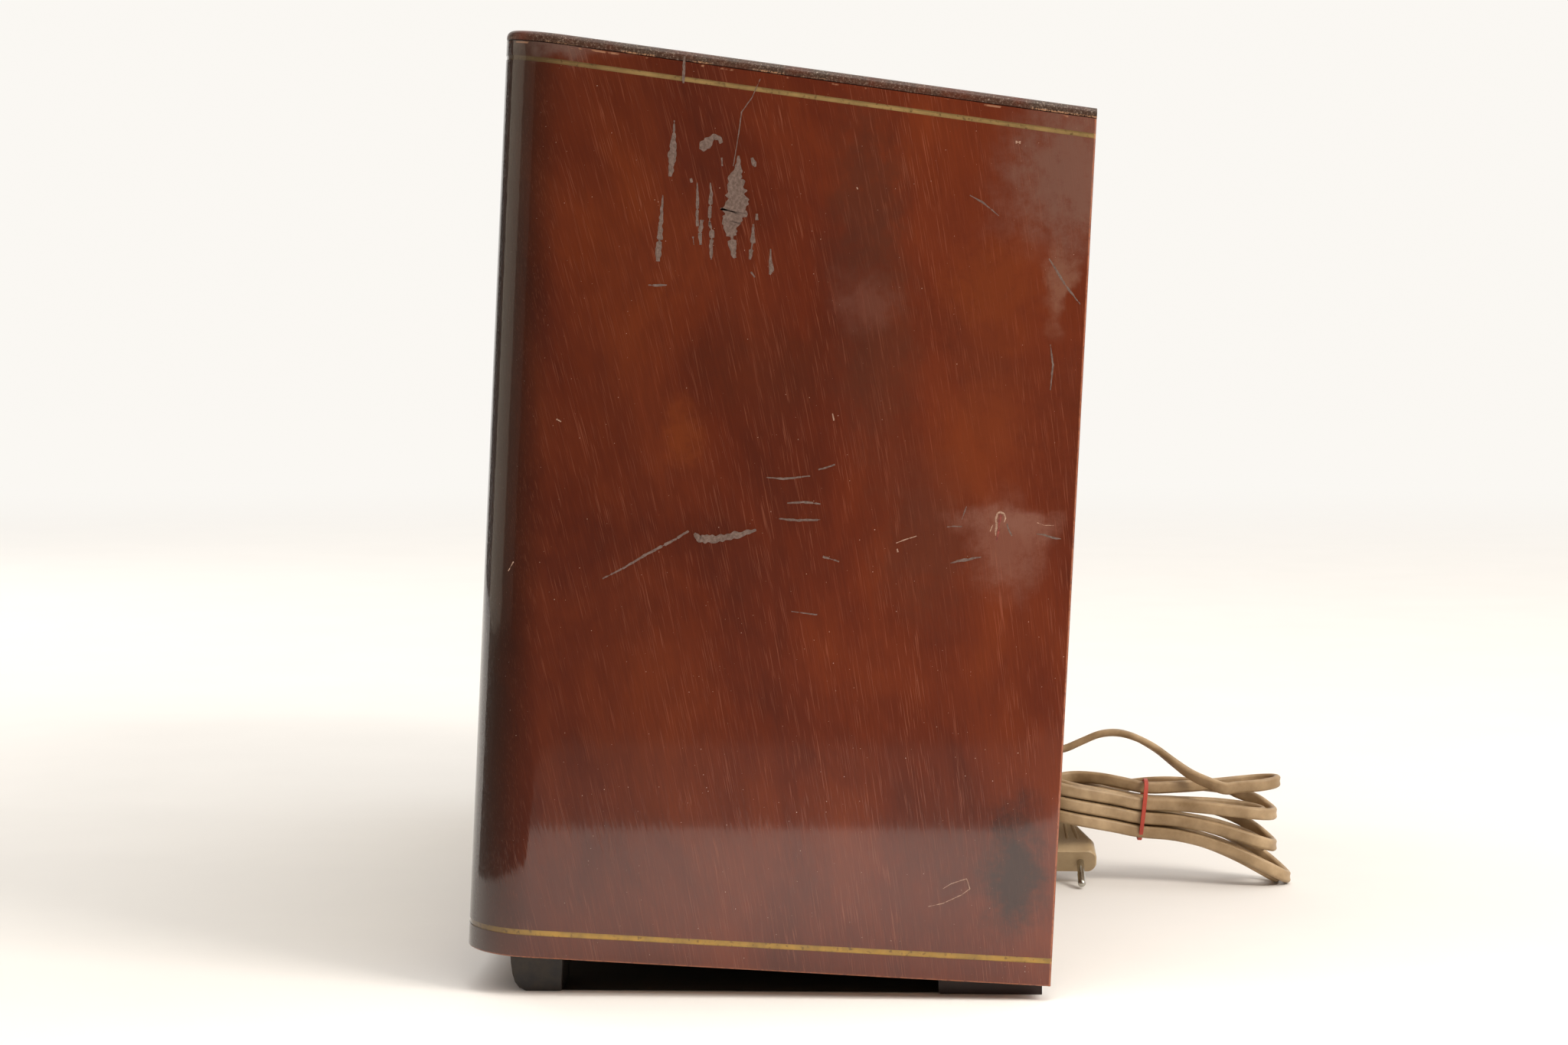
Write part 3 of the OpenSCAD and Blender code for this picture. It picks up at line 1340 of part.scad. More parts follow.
// The two plug pins: bare tips on sleeved shanks
module plug_pins() {
  color([0.8, 0.8, 0.78]) plugged() for (s = [-1, 1]) translate([0, s * pin_gap / 2, 0]) rotate_extrude()
    polygon(concat([[0, 0], [pin_r - 0.15, 0], [pin_r - 0.15, pin_l * 0.5], [pin_r, pin_l * 0.53]],
      [for (a = [0 : 18 : 90]) [pin_r * cos(a), pin_l - pin_r + pin_r * sin(a)]]));
}

module side_left() side(-1);
module side_right() side(1);

side_left();
side_right();
top_panel();
bottom_panel();
front_frame();
baffle_board();
speaker_cloth();
cloth_trim();
fascia();
dial_glass();
dial_frame();
dial_pointer();
tuning_eye();
volume_knob();
volume_shaft();
tone_ring();
tone_tube();
tuning_knob();
tuning_shaft();
aerial_ring();
aerial_tube();
front_bushes();
key_1();
key_2();
key_3();
key_4();
key_5();
key_frame();
chassis();
mains_transformer();
output_transformer();
power_valves();
signal_valves();
if_cans();
fm_tuner();
gang_frame();
gang_rotor();
drive_drum();
idler_pulley();
dial_cord();
volume_control();
filter_capacitor();
speaker_frame();
speaker_cone();
dial_lamps();
ferrite_rod();
ferrite_bracket();
back_panel();
back_battens();
back_screws();
socket_strip();
front_feet();
rear_feet();
cord_grommet();
cord_lead();
cord_hank();
cord_tail();
cord_band();
plug_body();
plug_pins();
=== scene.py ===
"""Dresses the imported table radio: veneers, gilt lines, cloth, dial, knobs, keys, back and mains cord.

The scene is in metres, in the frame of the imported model: the radio stands on z = 0 and faces -Y. Shapes are
drawn in mm in the cabinet's own directions, because it leans back: x across, u from the front to the rear,
and v up from its base.
"""

import math

import bmesh
import bpy
from mathutils import Matrix, Vector, noise


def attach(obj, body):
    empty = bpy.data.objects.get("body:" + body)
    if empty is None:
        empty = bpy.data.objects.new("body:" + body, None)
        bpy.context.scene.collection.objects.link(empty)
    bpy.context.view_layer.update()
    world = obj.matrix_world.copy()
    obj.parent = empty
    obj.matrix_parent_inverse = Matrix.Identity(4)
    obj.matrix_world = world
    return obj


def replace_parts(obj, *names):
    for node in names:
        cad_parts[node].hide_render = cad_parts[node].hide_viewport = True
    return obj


bl_info = {
    "name": "Table radio dresser",
    "version": (1, 0, 0),
    "blender": (4, 5, 0),
    "location": "View3D > Sidebar > Table radio",
    "description": "Builds the finished surfaces of a wooden table radio on its packed model",
    "category": "Object",
}

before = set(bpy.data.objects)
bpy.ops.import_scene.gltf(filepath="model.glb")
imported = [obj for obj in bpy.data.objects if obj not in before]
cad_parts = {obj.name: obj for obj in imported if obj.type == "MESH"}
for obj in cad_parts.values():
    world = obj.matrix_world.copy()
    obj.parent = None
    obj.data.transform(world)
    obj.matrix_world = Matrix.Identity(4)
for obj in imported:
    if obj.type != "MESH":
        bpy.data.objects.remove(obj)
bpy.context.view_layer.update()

MM = 0.001

# The cabinet, in mm and radians: its lean, and the place of its front lower edge
LEAN = math.radians(2.78)
FRONT_Y = -133.7868
FRONT_LIFT = 18.4
DEPTH = 250
FRONT_H = 391.5
FALL = 23.1 / DEPTH
HALF_W = 299.9
STILE_X = 254
CORNER_R = 28.5
SIDE_T = 9
# The top's strip, its worn edge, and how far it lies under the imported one, to stay inside its box
TOP_T = 4.5
EDGE_R = 3
SUNK = 0.1
# Where the top's strip meets the side, as a height at the front
SEAM_V = FRONT_H - TOP_T - SUNK
# The gilt lines: their heights, half widths and depth of their grooves
LOW_LINE_V = 10.8
LOW_LINE_HALF = 1.15
HIGH_LINE_V = FRONT_H - 11.8
HIGH_LINE_HALF = 0.9
GROOVE = 0.3
# The veneer's grain leans forward from upright, less toward the rear
GRAIN_TURN = math.radians(16)
GRAIN_SHEAR = -0.0006

# The speaker cloth: its lower and upper edge, half width and depth
CLOTH_V = (180.3, 360.5)
CLOTH_HALF = 239.5
CLOTH_U = 16.98
# Threads stand 2.4 mm apart: coarser than the real 0.6 mm, so that they show
THREAD = 2.4

# The dial's printing: depth of the glass's back, middle of the dial, left end and length of its scales
PRINT_U = 15.05
DIAL_V = 133
SCALE_X = -104
SCALE_L = 204
# Steps between its ticks, distance of the outer numbers from its ends, their size and height over the line
TICKS = 40
NUMBER_IN = 8
NUMBER_SIZE = 5.6
NUMBER_LIFT = 3.4
# Height of each scale over the dial's middle, and its numbers
SCALES = (
    (17, (88, 90, 92, 94, 96, 98, 100, 102, 104)),
    (4.5, (49, 41, 31, 25, 19, 16)),
    (-8, (550, 500, 450, 400, 350, 300, 250, 200)),
    (-20.5, (2000, 1750, 1500, 1250, 1000, 800)),
)

# The cord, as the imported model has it: its size, and points of its lead and tail with their roll in degrees
CORD_W = 6.2
CORD_T = 3.7
LEAD = [(-20, 130, 65.7, 0), (-20, 137, 66, 0), (-19, 146, 70, 0), (-17, 155, 74, 0), (-15, 164, 75, 0),
        (-12, 173, 73, 10), (-8, 183, 68, 25), (-3, 192, 61.5, 40), (1, 200, 56, 60), (5, 208, 52.5, 75)]
TAIL = [(-17, 206, 48, 90), (-21, 194, 48.5, 90), (-26, 181, 47.5, 90), (-31, 168, 45, 90),
        (-35, 156, 41.5, 85), (-36, 147, 39, 70), (-34.5, 140.5, 37, 45), (-31.5, 136.8, 34.8, 20)]
PLUG_AT = Vector((8.5, 135, 11.5))
PLUG_WAY = Vector((math.cos(math.radians(30)), 0, -math.sin(math.radians(30))))
PLUG_L = 34
# The cord runs straight into its plug over this length
PLUG_LEAD = 8
# Thickness of the web between the cord's two lobes, as a share of theirs
WEB = 0.78
# The hank: its middle, first and last turn, and steps in a turn
HANK_Y = 176
HANK_Z = 37.5
HANK_TURNS = (0.87, 7.14)
HANK_STEPS = 24
# Half widths of its outer and inner layer, at the waist and at both ends
HANK_WAIST = (7.1, 2.5)
HANK_LOBE = (27, 22.6)
# Its reach to the rear, more for the outer levels, its reach to the front, and less for the inner layer
HANK_REAR = 66
HANK_SPREAD = 3.6
HANK_FRONT = 50
HANK_LESS = 5.5
# How far its rear end sags and its front end rises
HANK_SAG = 9.5
HANK_RISE = 10.5
# Distance of its levels at the waist, and how much more or less at the rear and front end
LEVEL_STEP = 7.2
LEVEL_MORE = 9.2
LEVEL_LESS = 0.3
# Half width and half height of the rubber band's loop, and half of its own width
BAND_SIZE = (9.6, 14.6)
BAND_HALF = 1.1

# The camera's turn to the side, down and about its axis, in degrees
CAMERA_TURN = (-2.19, 3.32, -0.04)
# The stage, in metres: half of the floor, and where its paper fades into the light from all round
REACH = 9
FADE = (1.5, 4.5)
# Heights of the sheets on the floor, radius and height of the upright flags
SHADOW_SHEET_Z = 0.0004
FLAG_Z = 0.0006
FLAG_R = 3.4
FLAG_H = 4.0

# Marks on the right side, as strips through points of depth u, height v and half width
SCRAPED = [
    [(74.8, 355.2, 0.2), (74.9, 348.3, 0.9), (74.6, 339.7, 1.6), (74.1, 331.9, 0.7)],
    [(71.4, 324, 0.2), (71.2, 315.4, 0.7), (71, 308.5, 1), (70.7, 301.6, 1.2), (70.5, 296.4, 0.8)],
    [(86.6, 343.4, 0.9), (87.7, 345.1, 2), (89.4, 346.9, 2), (91.4, 349.4, 1), (93.6, 348.8, 1),
     (94.9, 346.7, 0.7)],
    [(85.5, 329.9, 0.2), (86, 323, 0.6), (86.1, 316.1, 0.8), (86.5, 311.8, 0.5)],
    [(88.1, 314.5, 0.7), (87.8, 309.3, 0.8), (88.1, 304.1, 0.5)],
    [(84.8, 307.4, 0.35), (85.3, 304, 0.35)],
    [(91, 330.1, 0.2), (91.6, 325, 0.7), (91.4, 318.1, 0.7), (91.4, 312, 0.35)],
    [(91.5, 313.8, 0.2), (92.7, 309.5, 0.9), (92.5, 302.6, 0.7), (92.9, 298.3, 0.5)],
    [(109.8, 374, 0.15), (106.7, 366.1, 0.17), (102.6, 359.9, 0.21), (101.7, 349.6, 0.17),
     (100.2, 337.4, 0.15)],
    [(102.1, 341.8, 0.4), (102.3, 337.5, 1.4), (101.3, 332.3, 2.8), (102, 325.5, 4.2), (102, 318.6, 5),
     (100.6, 314.2, 4.5), (100.6, 310.7, 2.4), (101.3, 306.5, 1.6), (101.9, 301.3, 1.2), (102.7, 299.3, 0.5)],
    [(107.8, 341.2, 0.7), (108.8, 338.7, 0.9), (109.4, 337.5, 0.35)],
    [(95.2, 340.7, 0.35), (95.7, 337.2, 0.35)],
    [(109.7, 313.7, 0.35), (109.8, 306.9, 0.9), (109.3, 302.5, 0.9), (109, 299, 0.5)],
    [(111, 318.1, 0.5), (111.1, 315.5, 0.5)],
    [(117.4, 303.8, 0.2), (117.7, 298.6, 0.7), (118.2, 295.2, 0.9), (117.6, 293.1, 0.5)],
    [(109.7, 293.9, 0.35), (111.4, 291.7, 0.35)],
    [(67, 286.3, 0.26), (71.3, 286.4, 0.5), (74.8, 286.7, 0.26)],
    [(77.9, 382, 0.35), (77.7, 377.7, 0.6), (77.9, 370.8, 0.5)],
    [(82.8, 331.5, 0.5), (83.3, 329.8, 0.5)],
    [(120.2, 208.5, 0.17), (127.2, 208.2, 0.43), (138.4, 210, 0.26)],
    [(141.8, 212.7, 0.3), (148.6, 215.2, 0.3)],
    [(129.4, 198.2, 0.26), (136.3, 198.9, 0.5), (143.3, 198.5, 0.26)],
    [(126.3, 191.4, 0.26), (134.1, 191.1, 0.5), (143.6, 191.9, 0.35)],
    [(235.7, 269.6, 0.15), (237.2, 261.1, 0.4), (236.7, 250.7, 0.17)],
    [(233.3, 305.2, 0.3), (240.3, 295, 0.5), (247.2, 286.9, 0.2)],
    [(199.1, 329.9, 0.15), (204.8, 327.1, 0.35), (211.6, 321.9, 0.15)],
    [(53.4, 162.5, 0.26), (62.8, 167.9, 0.4), (71.2, 173.6, 0.5), (83.2, 180.6, 0.5), (88.6, 184.4, 0.35)],
    [(91.1, 183.5, 0.5), (93.6, 181.2, 1.5), (100.6, 181.5, 1.6), (107.5, 183.3, 1.4), (116.9, 186.2, 0.5)],
    [(145.4, 176.5, 0.5), (152.3, 174.7, 0.35)],
    [(198.8, 176.4, 0.15), (201.9, 177.4, 0.5), (205.3, 178.1, 0.6), (208.4, 179, 0.35),
     (211.5, 179.6, 0.15)],
    [(234.1, 190.5, 0.15), (237.8, 190.1, 0.35), (241, 189.1, 0.5), (244.4, 188.9, 0.15)],
    [(133.3, 152.8, 0.17), (144.2, 151.9, 0.3)],
    [(196.6, 191.5, 0.15), (199.4, 191.9, 0.3), (202.9, 192, 0.15)],
    [(221.5, 194.1, 0.2), (222.6, 191.3, 0.35), (223.9, 189.1, 0.2)],
    [(202.7, 194.9, 0.12), (203.7, 198.4, 0.25), (204.4, 200.5, 0.12)],
]
CHIPPED = [
    [(216.9, 352.7, 0.5), (219, 352.7, 0.6)],
    [(217, 194.2, 0.2), (216.9, 196.2, 0.35), (217.4, 198.2, 0.3), (218.6, 198.9, 0.4), (220.1, 198.3, 0.3),
     (220.9, 196.4, 0.25), (220.3, 194.6, 0.12)],
    [(217.2, 194.6, 0.25), (217.2, 192.2, 0.4), (217, 190.5, 0.3), (217.1, 188.8, 0.12)],
    [(215.7, 193.3, 0.12), (215, 191.5, 0.25), (214.7, 190.5, 0.12)],
    [(175.8, 183.7, 0.12), (179.8, 185.5, 0.2), (184.2, 187.1, 0.12)],
    [(234.1, 195.2, 0.12), (237, 194.2, 0.17), (241, 194.3, 0.12)],
    [(176.3, 181.3, 0.3), (176.7, 179.9, 0.3)],
    [(196.9, 31.2, 0.12), (203, 32.9, 0.14), (210.6, 36.9, 0.16), (214, 39.7, 0.16), (212.4, 43.9, 0.16),
     (206, 41.4, 0.16), (202.7, 39.1, 0.12)],
    [(13.5, 163.7, 0.14), (15.5, 167.8, 0.2)],
    [(146.5, 236.5, 0.2), (147.2, 233.6, 0.35)],
    [(152, 331, 0.3), (152.5, 330.2, 0.3)],
    [(31, 228.5, 0.25), (33, 227.6, 0.35)],
]
GOUGED = [
    [(218.7, 197.7, 0.3), (218.9, 196.6, 0.8), (218.6, 195.4, 0.7), (218.3, 194, 0.35), (218.3, 191.1, 0.4),
     (217.9, 188.2, 0.3), (217.5, 186.5, 0.17)],
]
# Length of a step along a mark
MARK_STEP = 0.4

# Soft patches on the right side: middle u and v, reach along u and v, colour and strength
PATCHES = [
    ((214, 262), (70, 150), "#6e2f14", 0.35),
    ((213, 293), (34, 36), "#76350f", 0.35),
    ((211, 233), (28, 46), "#763614", 0.28),
    ((85, 226), (15, 24), "#7a3810", 0.4),
    ((156, 326), (26, 60), "#40251a", 0.45),
    ((166, 262), (26, 80), "#4a2a1c", 0.4),
    ((190, 187), (34, 60), "#4a2c20", 0.35),
    ((120, 255), (50, 34), "#45200f", 0.3),
    ((219, 196), (34, 10), "#7a5143", 0.6),
    ((222, 184), (22, 34), "#7a5143", 0.6),
    ((231, 194), (22, 10), "#7a5143", 0.5),
    ((238, 345), (44, 56), "#6e5146", 0.7),
    ((240, 296), (8, 26), "#80604f", 0.45),
    ((32, 384), (40, 14), "#6b5850", 0.6),
    ((233, 47), (24, 44), "#241814", 0.85),
    ((160, 283), (22, 20), "#6a4236", 0.4),
]
# How far noise shifts their rims
PATCH_DRIFT = 36


def linear(colour):
    """Linear colour with alpha from an sRGB hex value. A colour property already is linear."""
    if not isinstance(colour, str):
        return tuple(colour)
    parts = [int(colour[i:i + 2], 16) / 255 for i in (1, 3, 5)]
    return tuple(p / 12.92 if p <= 0.04045 else ((p + 0.055) / 1.055) ** 2.4 for p in parts) + (1,)


def colour_property(name, description, text):
    """A colour that a user may change, with its default from an sRGB hex value."""
    return bpy.props.FloatVectorProperty(name=name, description=description, size=4, min=0, max=1,
                                         default=linear(text), subtype="COLOR")


class CordSizes(bpy.types.PropertyGroup):
    """Sizes of the mains cord"""

    thickness: bpy.props.FloatProperty(name="Thickness", description="Thickness of the flat cord",
                                       default=CORD_T * MM, unit="LENGTH")
    width: bpy.props.FloatProperty(name="Width", description="Width of the flat cord",
                                   default=CORD_W * MM, unit="LENGTH")


class StageSizes(bpy.types.PropertyGroup):
    """The camera and the light from all round"""

    camera_place: bpy.props.FloatVectorProperty(name="Camera place", description="Where the camera stands",
                                                size=3, default=(1.6436, 0.0551, 0.2799),
                                                subtype="TRANSLATION", unit="LENGTH")
    focal: bpy.props.FloatProperty(name="Focal length", default=73.83,
                                   description="Focal length on a 36 mm wide sensor, in mm")
    surround: bpy.props.FloatProperty(name="Surround", default=0.98,
                                      description="Strength of the soft light from all round")


class RadioColours(bpy.types.PropertyGroup):
    """Main colours of the finishes"""

    darkest: colour_property("Darkest veneer", "Darkest tone of the mahogany's figure", "#45190a")
    dark: colour_property("Dark veneer", "Dark tone of the mahogany's figure", "#531e0a")
    light: colour_property("Light veneer", "Light tone of the mahogany's figure", "#5d240c")
    lightest: colour_property("Lightest veneer", "Lightest tone of the mahogany's figure", "#6a2c0e")
    low_line: colour_property("Lower line", "Bright gold of the lower line", "#a8802a")
    high_line: colour_property("Upper line", "Bright gold of the upper line", "#94794c")
    fascia: colour_property("Fascia", "Cream of the fascia and the front knobs", "#d3c39c")
    rings: colour_property("Rings", "Gold-brown of the rings behind the knobs", "#7d5a2c")
    keys: colour_property("Keys", "Ivory of the piano keys", "#ddd0ac")
    trim: colour_property("Trim", "Gilt of the trim round the speaker cloth", "#b08f4e")
    cloth: colour_property("Cloth", "Middle tone of the speaker cloth's threads", "#b0925a")
    back: colour_property("Back panel", "Main brown of the hardboard back", "#5b3d27")
    cord: colour_property("Cord", "Main beige of the mains cord", "#8e7452")
    floor: colour_property("Floor", "Main tone of the background paper", "#e8e6e3")


def stood(x, u, v):
    """Point of the standing radio in metres, from across x, depth u and height v of its cabinet in mm."""
    y = FRONT_Y + u * math.cos(LEAN) + v * math.sin(LEAN)
    z = FRONT_LIFT - u * math.sin(LEAN) + v * math.cos(LEAN)
    return Vector((x * MM, y * MM, z * MM))


def arc(first, last, steps):
    """Cosines and sines at even steps from one angle to another, in degrees."""
    angles = [math.radians(first + (last - first) * i / steps) for i in range(steps + 1)]
    return [(math.cos(a), math.sin(a)) for a in angles]


def ease(x, a, b):
    """Smooth step from 0 to 1 between a and b."""
    s = max(0, min(1, (x - a) / (b - a)))
    return s * s * (3 - 2 * s)


def smooth_line(points, per):
    """Points of a smooth curve through a list of points, per of them for each stretch."""
    found = []
    ends = [2 * points[0] - points[1]] + points + [2 * points[-1] - points[-2]]
    for a, b, c, d in zip(ends, ends[1:], ends[2:], ends[3:]):
        for i in range(per):
            t = i / per
            found.append(0.5 * (2 * b + (c - a) * t + (2 * a - 5 * b + 4 * c - d) * t * t
                                + (3 * b - a - 3 * c + d) * t ** 3))
    return found + [points[-1]]


def loft(rings, first=0, closed=False):
    """Points and faces of a skin through rings of equally many points, closed on itself or with flat ends."""
    count = len(rings[0])
    starts = [first + i * count for i in range(len(rings))]
    faces = []
    for low, high in zip(starts, starts[1:] + (starts[:1] if closed else [])):
        for k in range(count):
            j = (k + 1) % count
            faces.append((low + k, low + j, high + j, high + k))
    if not closed:
        faces += [tuple(range(low, low + count)) for low in (starts[0], starts[-1])]
    return [point for ring in rings for point in ring], faces


def make(name, points, faces, material, smooth=True, angle=35):
    """A mesh piece of its own that rides on the cabinet, with edges sharp past an angle in degrees."""
    data = bpy.data.meshes.new(name)
    data.from_pydata([tuple(p) for p in points], [], faces)
    data.validate()
    piece = bpy.data.objects.new(name, data)
    bpy.context.scene.collection.objects.link(piece)
    data.materials.append(material)
    shape = bmesh.new()
    shape.from_mesh(data)
    bmesh.ops.recalc_face_normals(shape, faces=shape.faces)
    for edge in shape.edges:
        edge.smooth = len(edge.link_faces) != 2 or edge.calc_face_angle(0) < math.radians(angle)
    for face in shape.faces:
        face.smooth = smooth
    shape.to_mesh(data)
    shape.free()
    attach(piece, "cabinet")
    return piece


def dress(material, *nodes, edge=0.0):
    """Gives CAD nodes their finish, and softens their sharp edges by a width in mm."""
    for name in nodes:
        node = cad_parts[name]
        node.data.materials.clear()
        node.data.materials.append(material)
        if edge:
            soft = node.modifiers.new("worn edge", "BEVEL")
            soft.width = edge * MM
            soft.segments = 2
            soft.limit_method = "ANGLE"
            soft.angle_limit = math.radians(40)
            soft.harden_normals = False


def add(tree, kind, inputs=None, stops=None, **settings):
    """Adds a shader node with its settings, values, links and colour stops, and returns it."""
    made = tree.nodes.new("ShaderNode" + kind)
    for key, value in settings.items():
        setattr(made, key, value)
    for key, value in (inputs or {}).items():
        if isinstance(value, bpy.types.NodeSocket):
            tree.links.new(value, made.inputs[key])
        else:
            made.inputs[key].default_value = linear(value) if isinstance(value, str) else value
    if stops:
        bar = made.color_ramp.elements
        while len(bar) < len(stops):
            bar.new(0.5)
        for element, (place, colour) in zip(bar, stops):
            element.position = place
            element.color = linear(colour)
    return made


def start(name, **sockets):
    """A new material with sockets of its shader set, and a coordinate in mm of the cabinet's x, u and v."""
    material = bpy.data.materials.new(name)
    material.use_nodes = True
    tree = material.node_tree
    tree.nodes.clear()
    shader = add(tree, "BsdfPrincipled", {key.replace("_", " "): value for key, value in sockets.items()})
    add(tree, "OutputMaterial", {"Surface": shader.outputs[0]})
    place = add(tree, "Mapping", {
        "Vector": add(tree, "TexCoord").outputs["Object"],
        "Scale": (1 / MM,) * 3,
        "Rotation": (LEAN, 0, 0),
        "Location": tuple(Matrix.Rotation(LEAN, 3, "X") @ Vector((0, -FRONT_Y, -FRONT_LIFT))),
    })
    return material, tree, shader, place.outputs[0]


def finish(name, colour, second, rough, metal=0.0, patch=20, share=0.5, grain=(1, 1, 1), bump=0.0, pit=1.0,
           **sockets):
    """A plain finish: two close colours in patches, and a fine relief of depth bump. Sizes are in mm."""
    material, tree, shader, place = start(name, Metallic=metal, **sockets)
    wide = add(tree, "Mapping", {"Vector": place, "Scale": tuple(g / patch for g in grain)})
    blot = add(tree, "TexNoise", {"Vector": wide.outputs[0], "Scale": 1, "Detail": 4, "Roughness": 0.6})
    tone = add(tree, "ValToRGB", {"Fac": blot.outputs["Fac"]},
               stops=[(0.5 - share / 2, colour), (0.5 + share / 2, second)])
    sheen = add(tree, "MapRange", {"Value": blot.outputs["Fac"], "From Min": 0.3, "From Max": 0.7,
                                   "To Min": rough * 0.94, "To Max": min(1, rough * 1.08)})
    tree.links.new(tone.outputs[0], shader.inputs["Base Color"])
    tree.links.new(sheen.outputs[0], shader.inputs["Roughness"])
    if bump:
        fine = add(tree, "Mapping", {"Vector": place, "Scale": tuple(g / pit for g in grain)})
        relief = add(tree, "TexNoise", {"Vector": fine.outputs[0], "Scale": 1, "Detail": 3})
        hill = add(tree, "Bump", {"Height": relief.outputs["Fac"], "Strength": 1, "Distance": bump * MM})
        tree.links.new(hill.outputs[0], shader.inputs["Normal"])
    if not metal:
        # Typical of lacquer, moulded plastic, rubber and wood
        shader.inputs["IOR"].default_value = 1.5
    return material


def age(tree, place, x, u, v):
    """Sides darker toward the front, and their bend to the front dark with grime and painted shade."""
    darker_to_front = add(tree, "MapRange", {"Value": u, "From Min": 40, "From Max": 160, "To Min": 0.8,
                                    "To Max": 1.08}, interpolation_type="SMOOTHSTEP")
    bend = add(tree, "MapRange", {"Value": u, "From Min": 2, "From Max": 32, "To Min": 0.85, "To Max": 0},
               interpolation_type="SMOOTHSTEP")
    face = add(tree, "MapRange", {"Value": u, "From Min": 0.05, "From Max": 0.6, "To Min": 0.3})
    bend_grime_and_shade = add(tree, "Math", {0: bend.outputs[0], 1: face.outputs[0]}, operation="MULTIPLY")
    # Painted shade with some grime: the bend to the front darkened to near black
    return [("MULTIPLY", 1, darker_to_front.outputs[0]), ("MIX", bend_grime_and_shade.outputs[0], "#251a12")]


def soft_patches(tree, place, x, u, v):
    """Soft patches of the right side: pale wood, dark figure, dull rubbed varnish, with crumbled rims."""
    crumbs = add(tree, "TexNoise", {"Vector": place, "Scale": 0.14, "Detail": 7, "Roughness": 0.75})
    cloud = add(tree, "TexNoise", {"Vector": place, "Scale": 0.03, "Detail": 4, "Roughness": 0.6})
    drift = add(tree, "VectorMath", {0: cloud.outputs["Color"], 1: (PATCH_DRIFT,) * 3,
                                     2: (-PATCH_DRIFT / 2,) * 3}, operation="MULTIPLY_ADD")
    bent = add(tree, "VectorMath", {0: place, 1: drift.outputs[0]}).outputs[0]
    coats = []
    for (middle_u, middle_v), (wide, high), shade, much in PATCHES:
        near = add(tree, "Mapping", {"Vector": bent, "Scale": (90, wide, high),
                                     "Location": (300, middle_u, middle_v)}, vector_type="TEXTURE")
        ball = add(tree, "TexGradient", {"Vector": near.outputs[0]}, gradient_type="SPHERICAL")
        blur = add(tree, "Math", {0: ball.outputs["Fac"], 1: crumbs.outputs["Fac"]}, operation="MULTIPLY")
        mask = add(tree, "MapRange", {"Value": blur.outputs[0], "From Min": 0.05, "From Max": 0.42,
                                      "To Max": much}, interpolation_type="SMOOTHSTEP")
        coats.append(("MIX", mask.outputs[0], shade))
    return coats


def gilt_lines(tree, place, x, u, v):
    """Gilt lines over grooves of painted shade, chips along the seam under the top, edges rubbed to the raw
    wood.
    """
    colours = bpy.context.scene.radio_colours
    slope = add(tree, "Math", {0: u, 1: FALL, 2: v}, operation="MULTIPLY_ADD").outputs[0]
    worn = add(tree, "TexNoise", {"Vector": place, "Scale": 0.5, "Detail": 4}).outputs["Fac"]
    lace = add(tree, "TexNoise", {"Vector": place, "Scale": 0.09, "Detail": 3,
                                  "Roughness": 0.7}).outputs["Fac"]

    def distance(height, level):
        """How far a height is from a level."""
        off = add(tree, "Math", {0: height, 1: level}, operation="SUBTRACT")
        return add(tree, "Math", {0: off.outputs[0]}, operation="ABSOLUTE").outputs[0]

    coats = []
    # For each line: its height, half width, bright and dull gold, and the depth where it is whole
    for height, level, half, bright, dull, whole in (
            (v, LOW_LINE_V, 1.12, colours.low_line, "#8a6a24", 30),
            (slope, HIGH_LINE_V, 0.95, colours.high_line, "#826a42", 60)):
        band = add(tree, "MapRange", {"Value": distance(height, level), "From Min": half - 0.1,
                                      "From Max": half + 0.15, "To Min": 1, "To Max": 0})
        fade = add(tree, "MapRange", {"Value": u, "From Min": 3, "From Max": whole, "To Min": 0.15})
        chip = add(tree, "MapRange", {"Value": worn, "From Min": 0.3, "From Max": 0.42, "To Min": 0.45})
        kept = add(tree, "Math", {0: band.outputs[0], 1: fade.outputs[0]}, operation="MULTIPLY")
        kept = add(tree, "Math", {0: kept.outputs[0], 1: chip.outputs[0]}, operation="MULTIPLY")
        leaf = add(tree, "ValToRGB", {"Fac": lace}, stops=[(0.35, dull), (0.62, bright)])
        # Painted shade: the groove's band near black, with the gold laid over it fading toward the front
        coats += [("MIX", band.outputs[0], "#2a130b"), ("MIX", kept.outputs[0], leaf.outputs[0])]
    seam = add(tree, "MapRange", {"Value": distance(slope, SEAM_V - 0.7), "From Min": 0.2,
                                  "From Max": 0.5, "To Min": 1, "To Max": 0})
    some = add(tree, "MapRange", {"Value": lace, "From Min": 0.55, "From Max": 0.6, "To Max": 0.8})
    chips = add(tree, "Math", {0: seam.outputs[0], 1: some.outputs[0]}, operation="MULTIPLY")
    # The lower and rear edges
    low = add(tree, "MapRange", {"Value": v, "From Min": 0.35, "From Max": 0.75, "To Min": 1, "To Max": 0})
    rear = add(tree, "MapRange", {"Value": u, "From Min": DEPTH - 1, "From Max": DEPTH - 0.4})
    side = add(tree, "MapRange", {"Value": distance(x, 0), "From Min": HALF_W - 0.9,
                                  "From Max": HALF_W - 0.4})
    rear = add(tree, "Math", {0: rear.outputs[0], 1: side.outputs[0]}, operation="MULTIPLY")
    edge = add(tree, "Math", {0: low.outputs[0], 1: rear.outputs[0]}, operation="MAXIMUM")
    rub = add(tree, "MapRange", {"Value": worn, "From Min": 0.3, "From Max": 0.55, "To Min": 0.1,
                                 "To Max": 0.7})
    raw = add(tree, "Math", {0: edge.outputs[0], 1: rub.outputs[0]}, operation="MULTIPLY")
    return coats + [("MIX", chips.outputs[0], "#a07458"), ("MIX", raw.outputs[0], "#a8623c")]


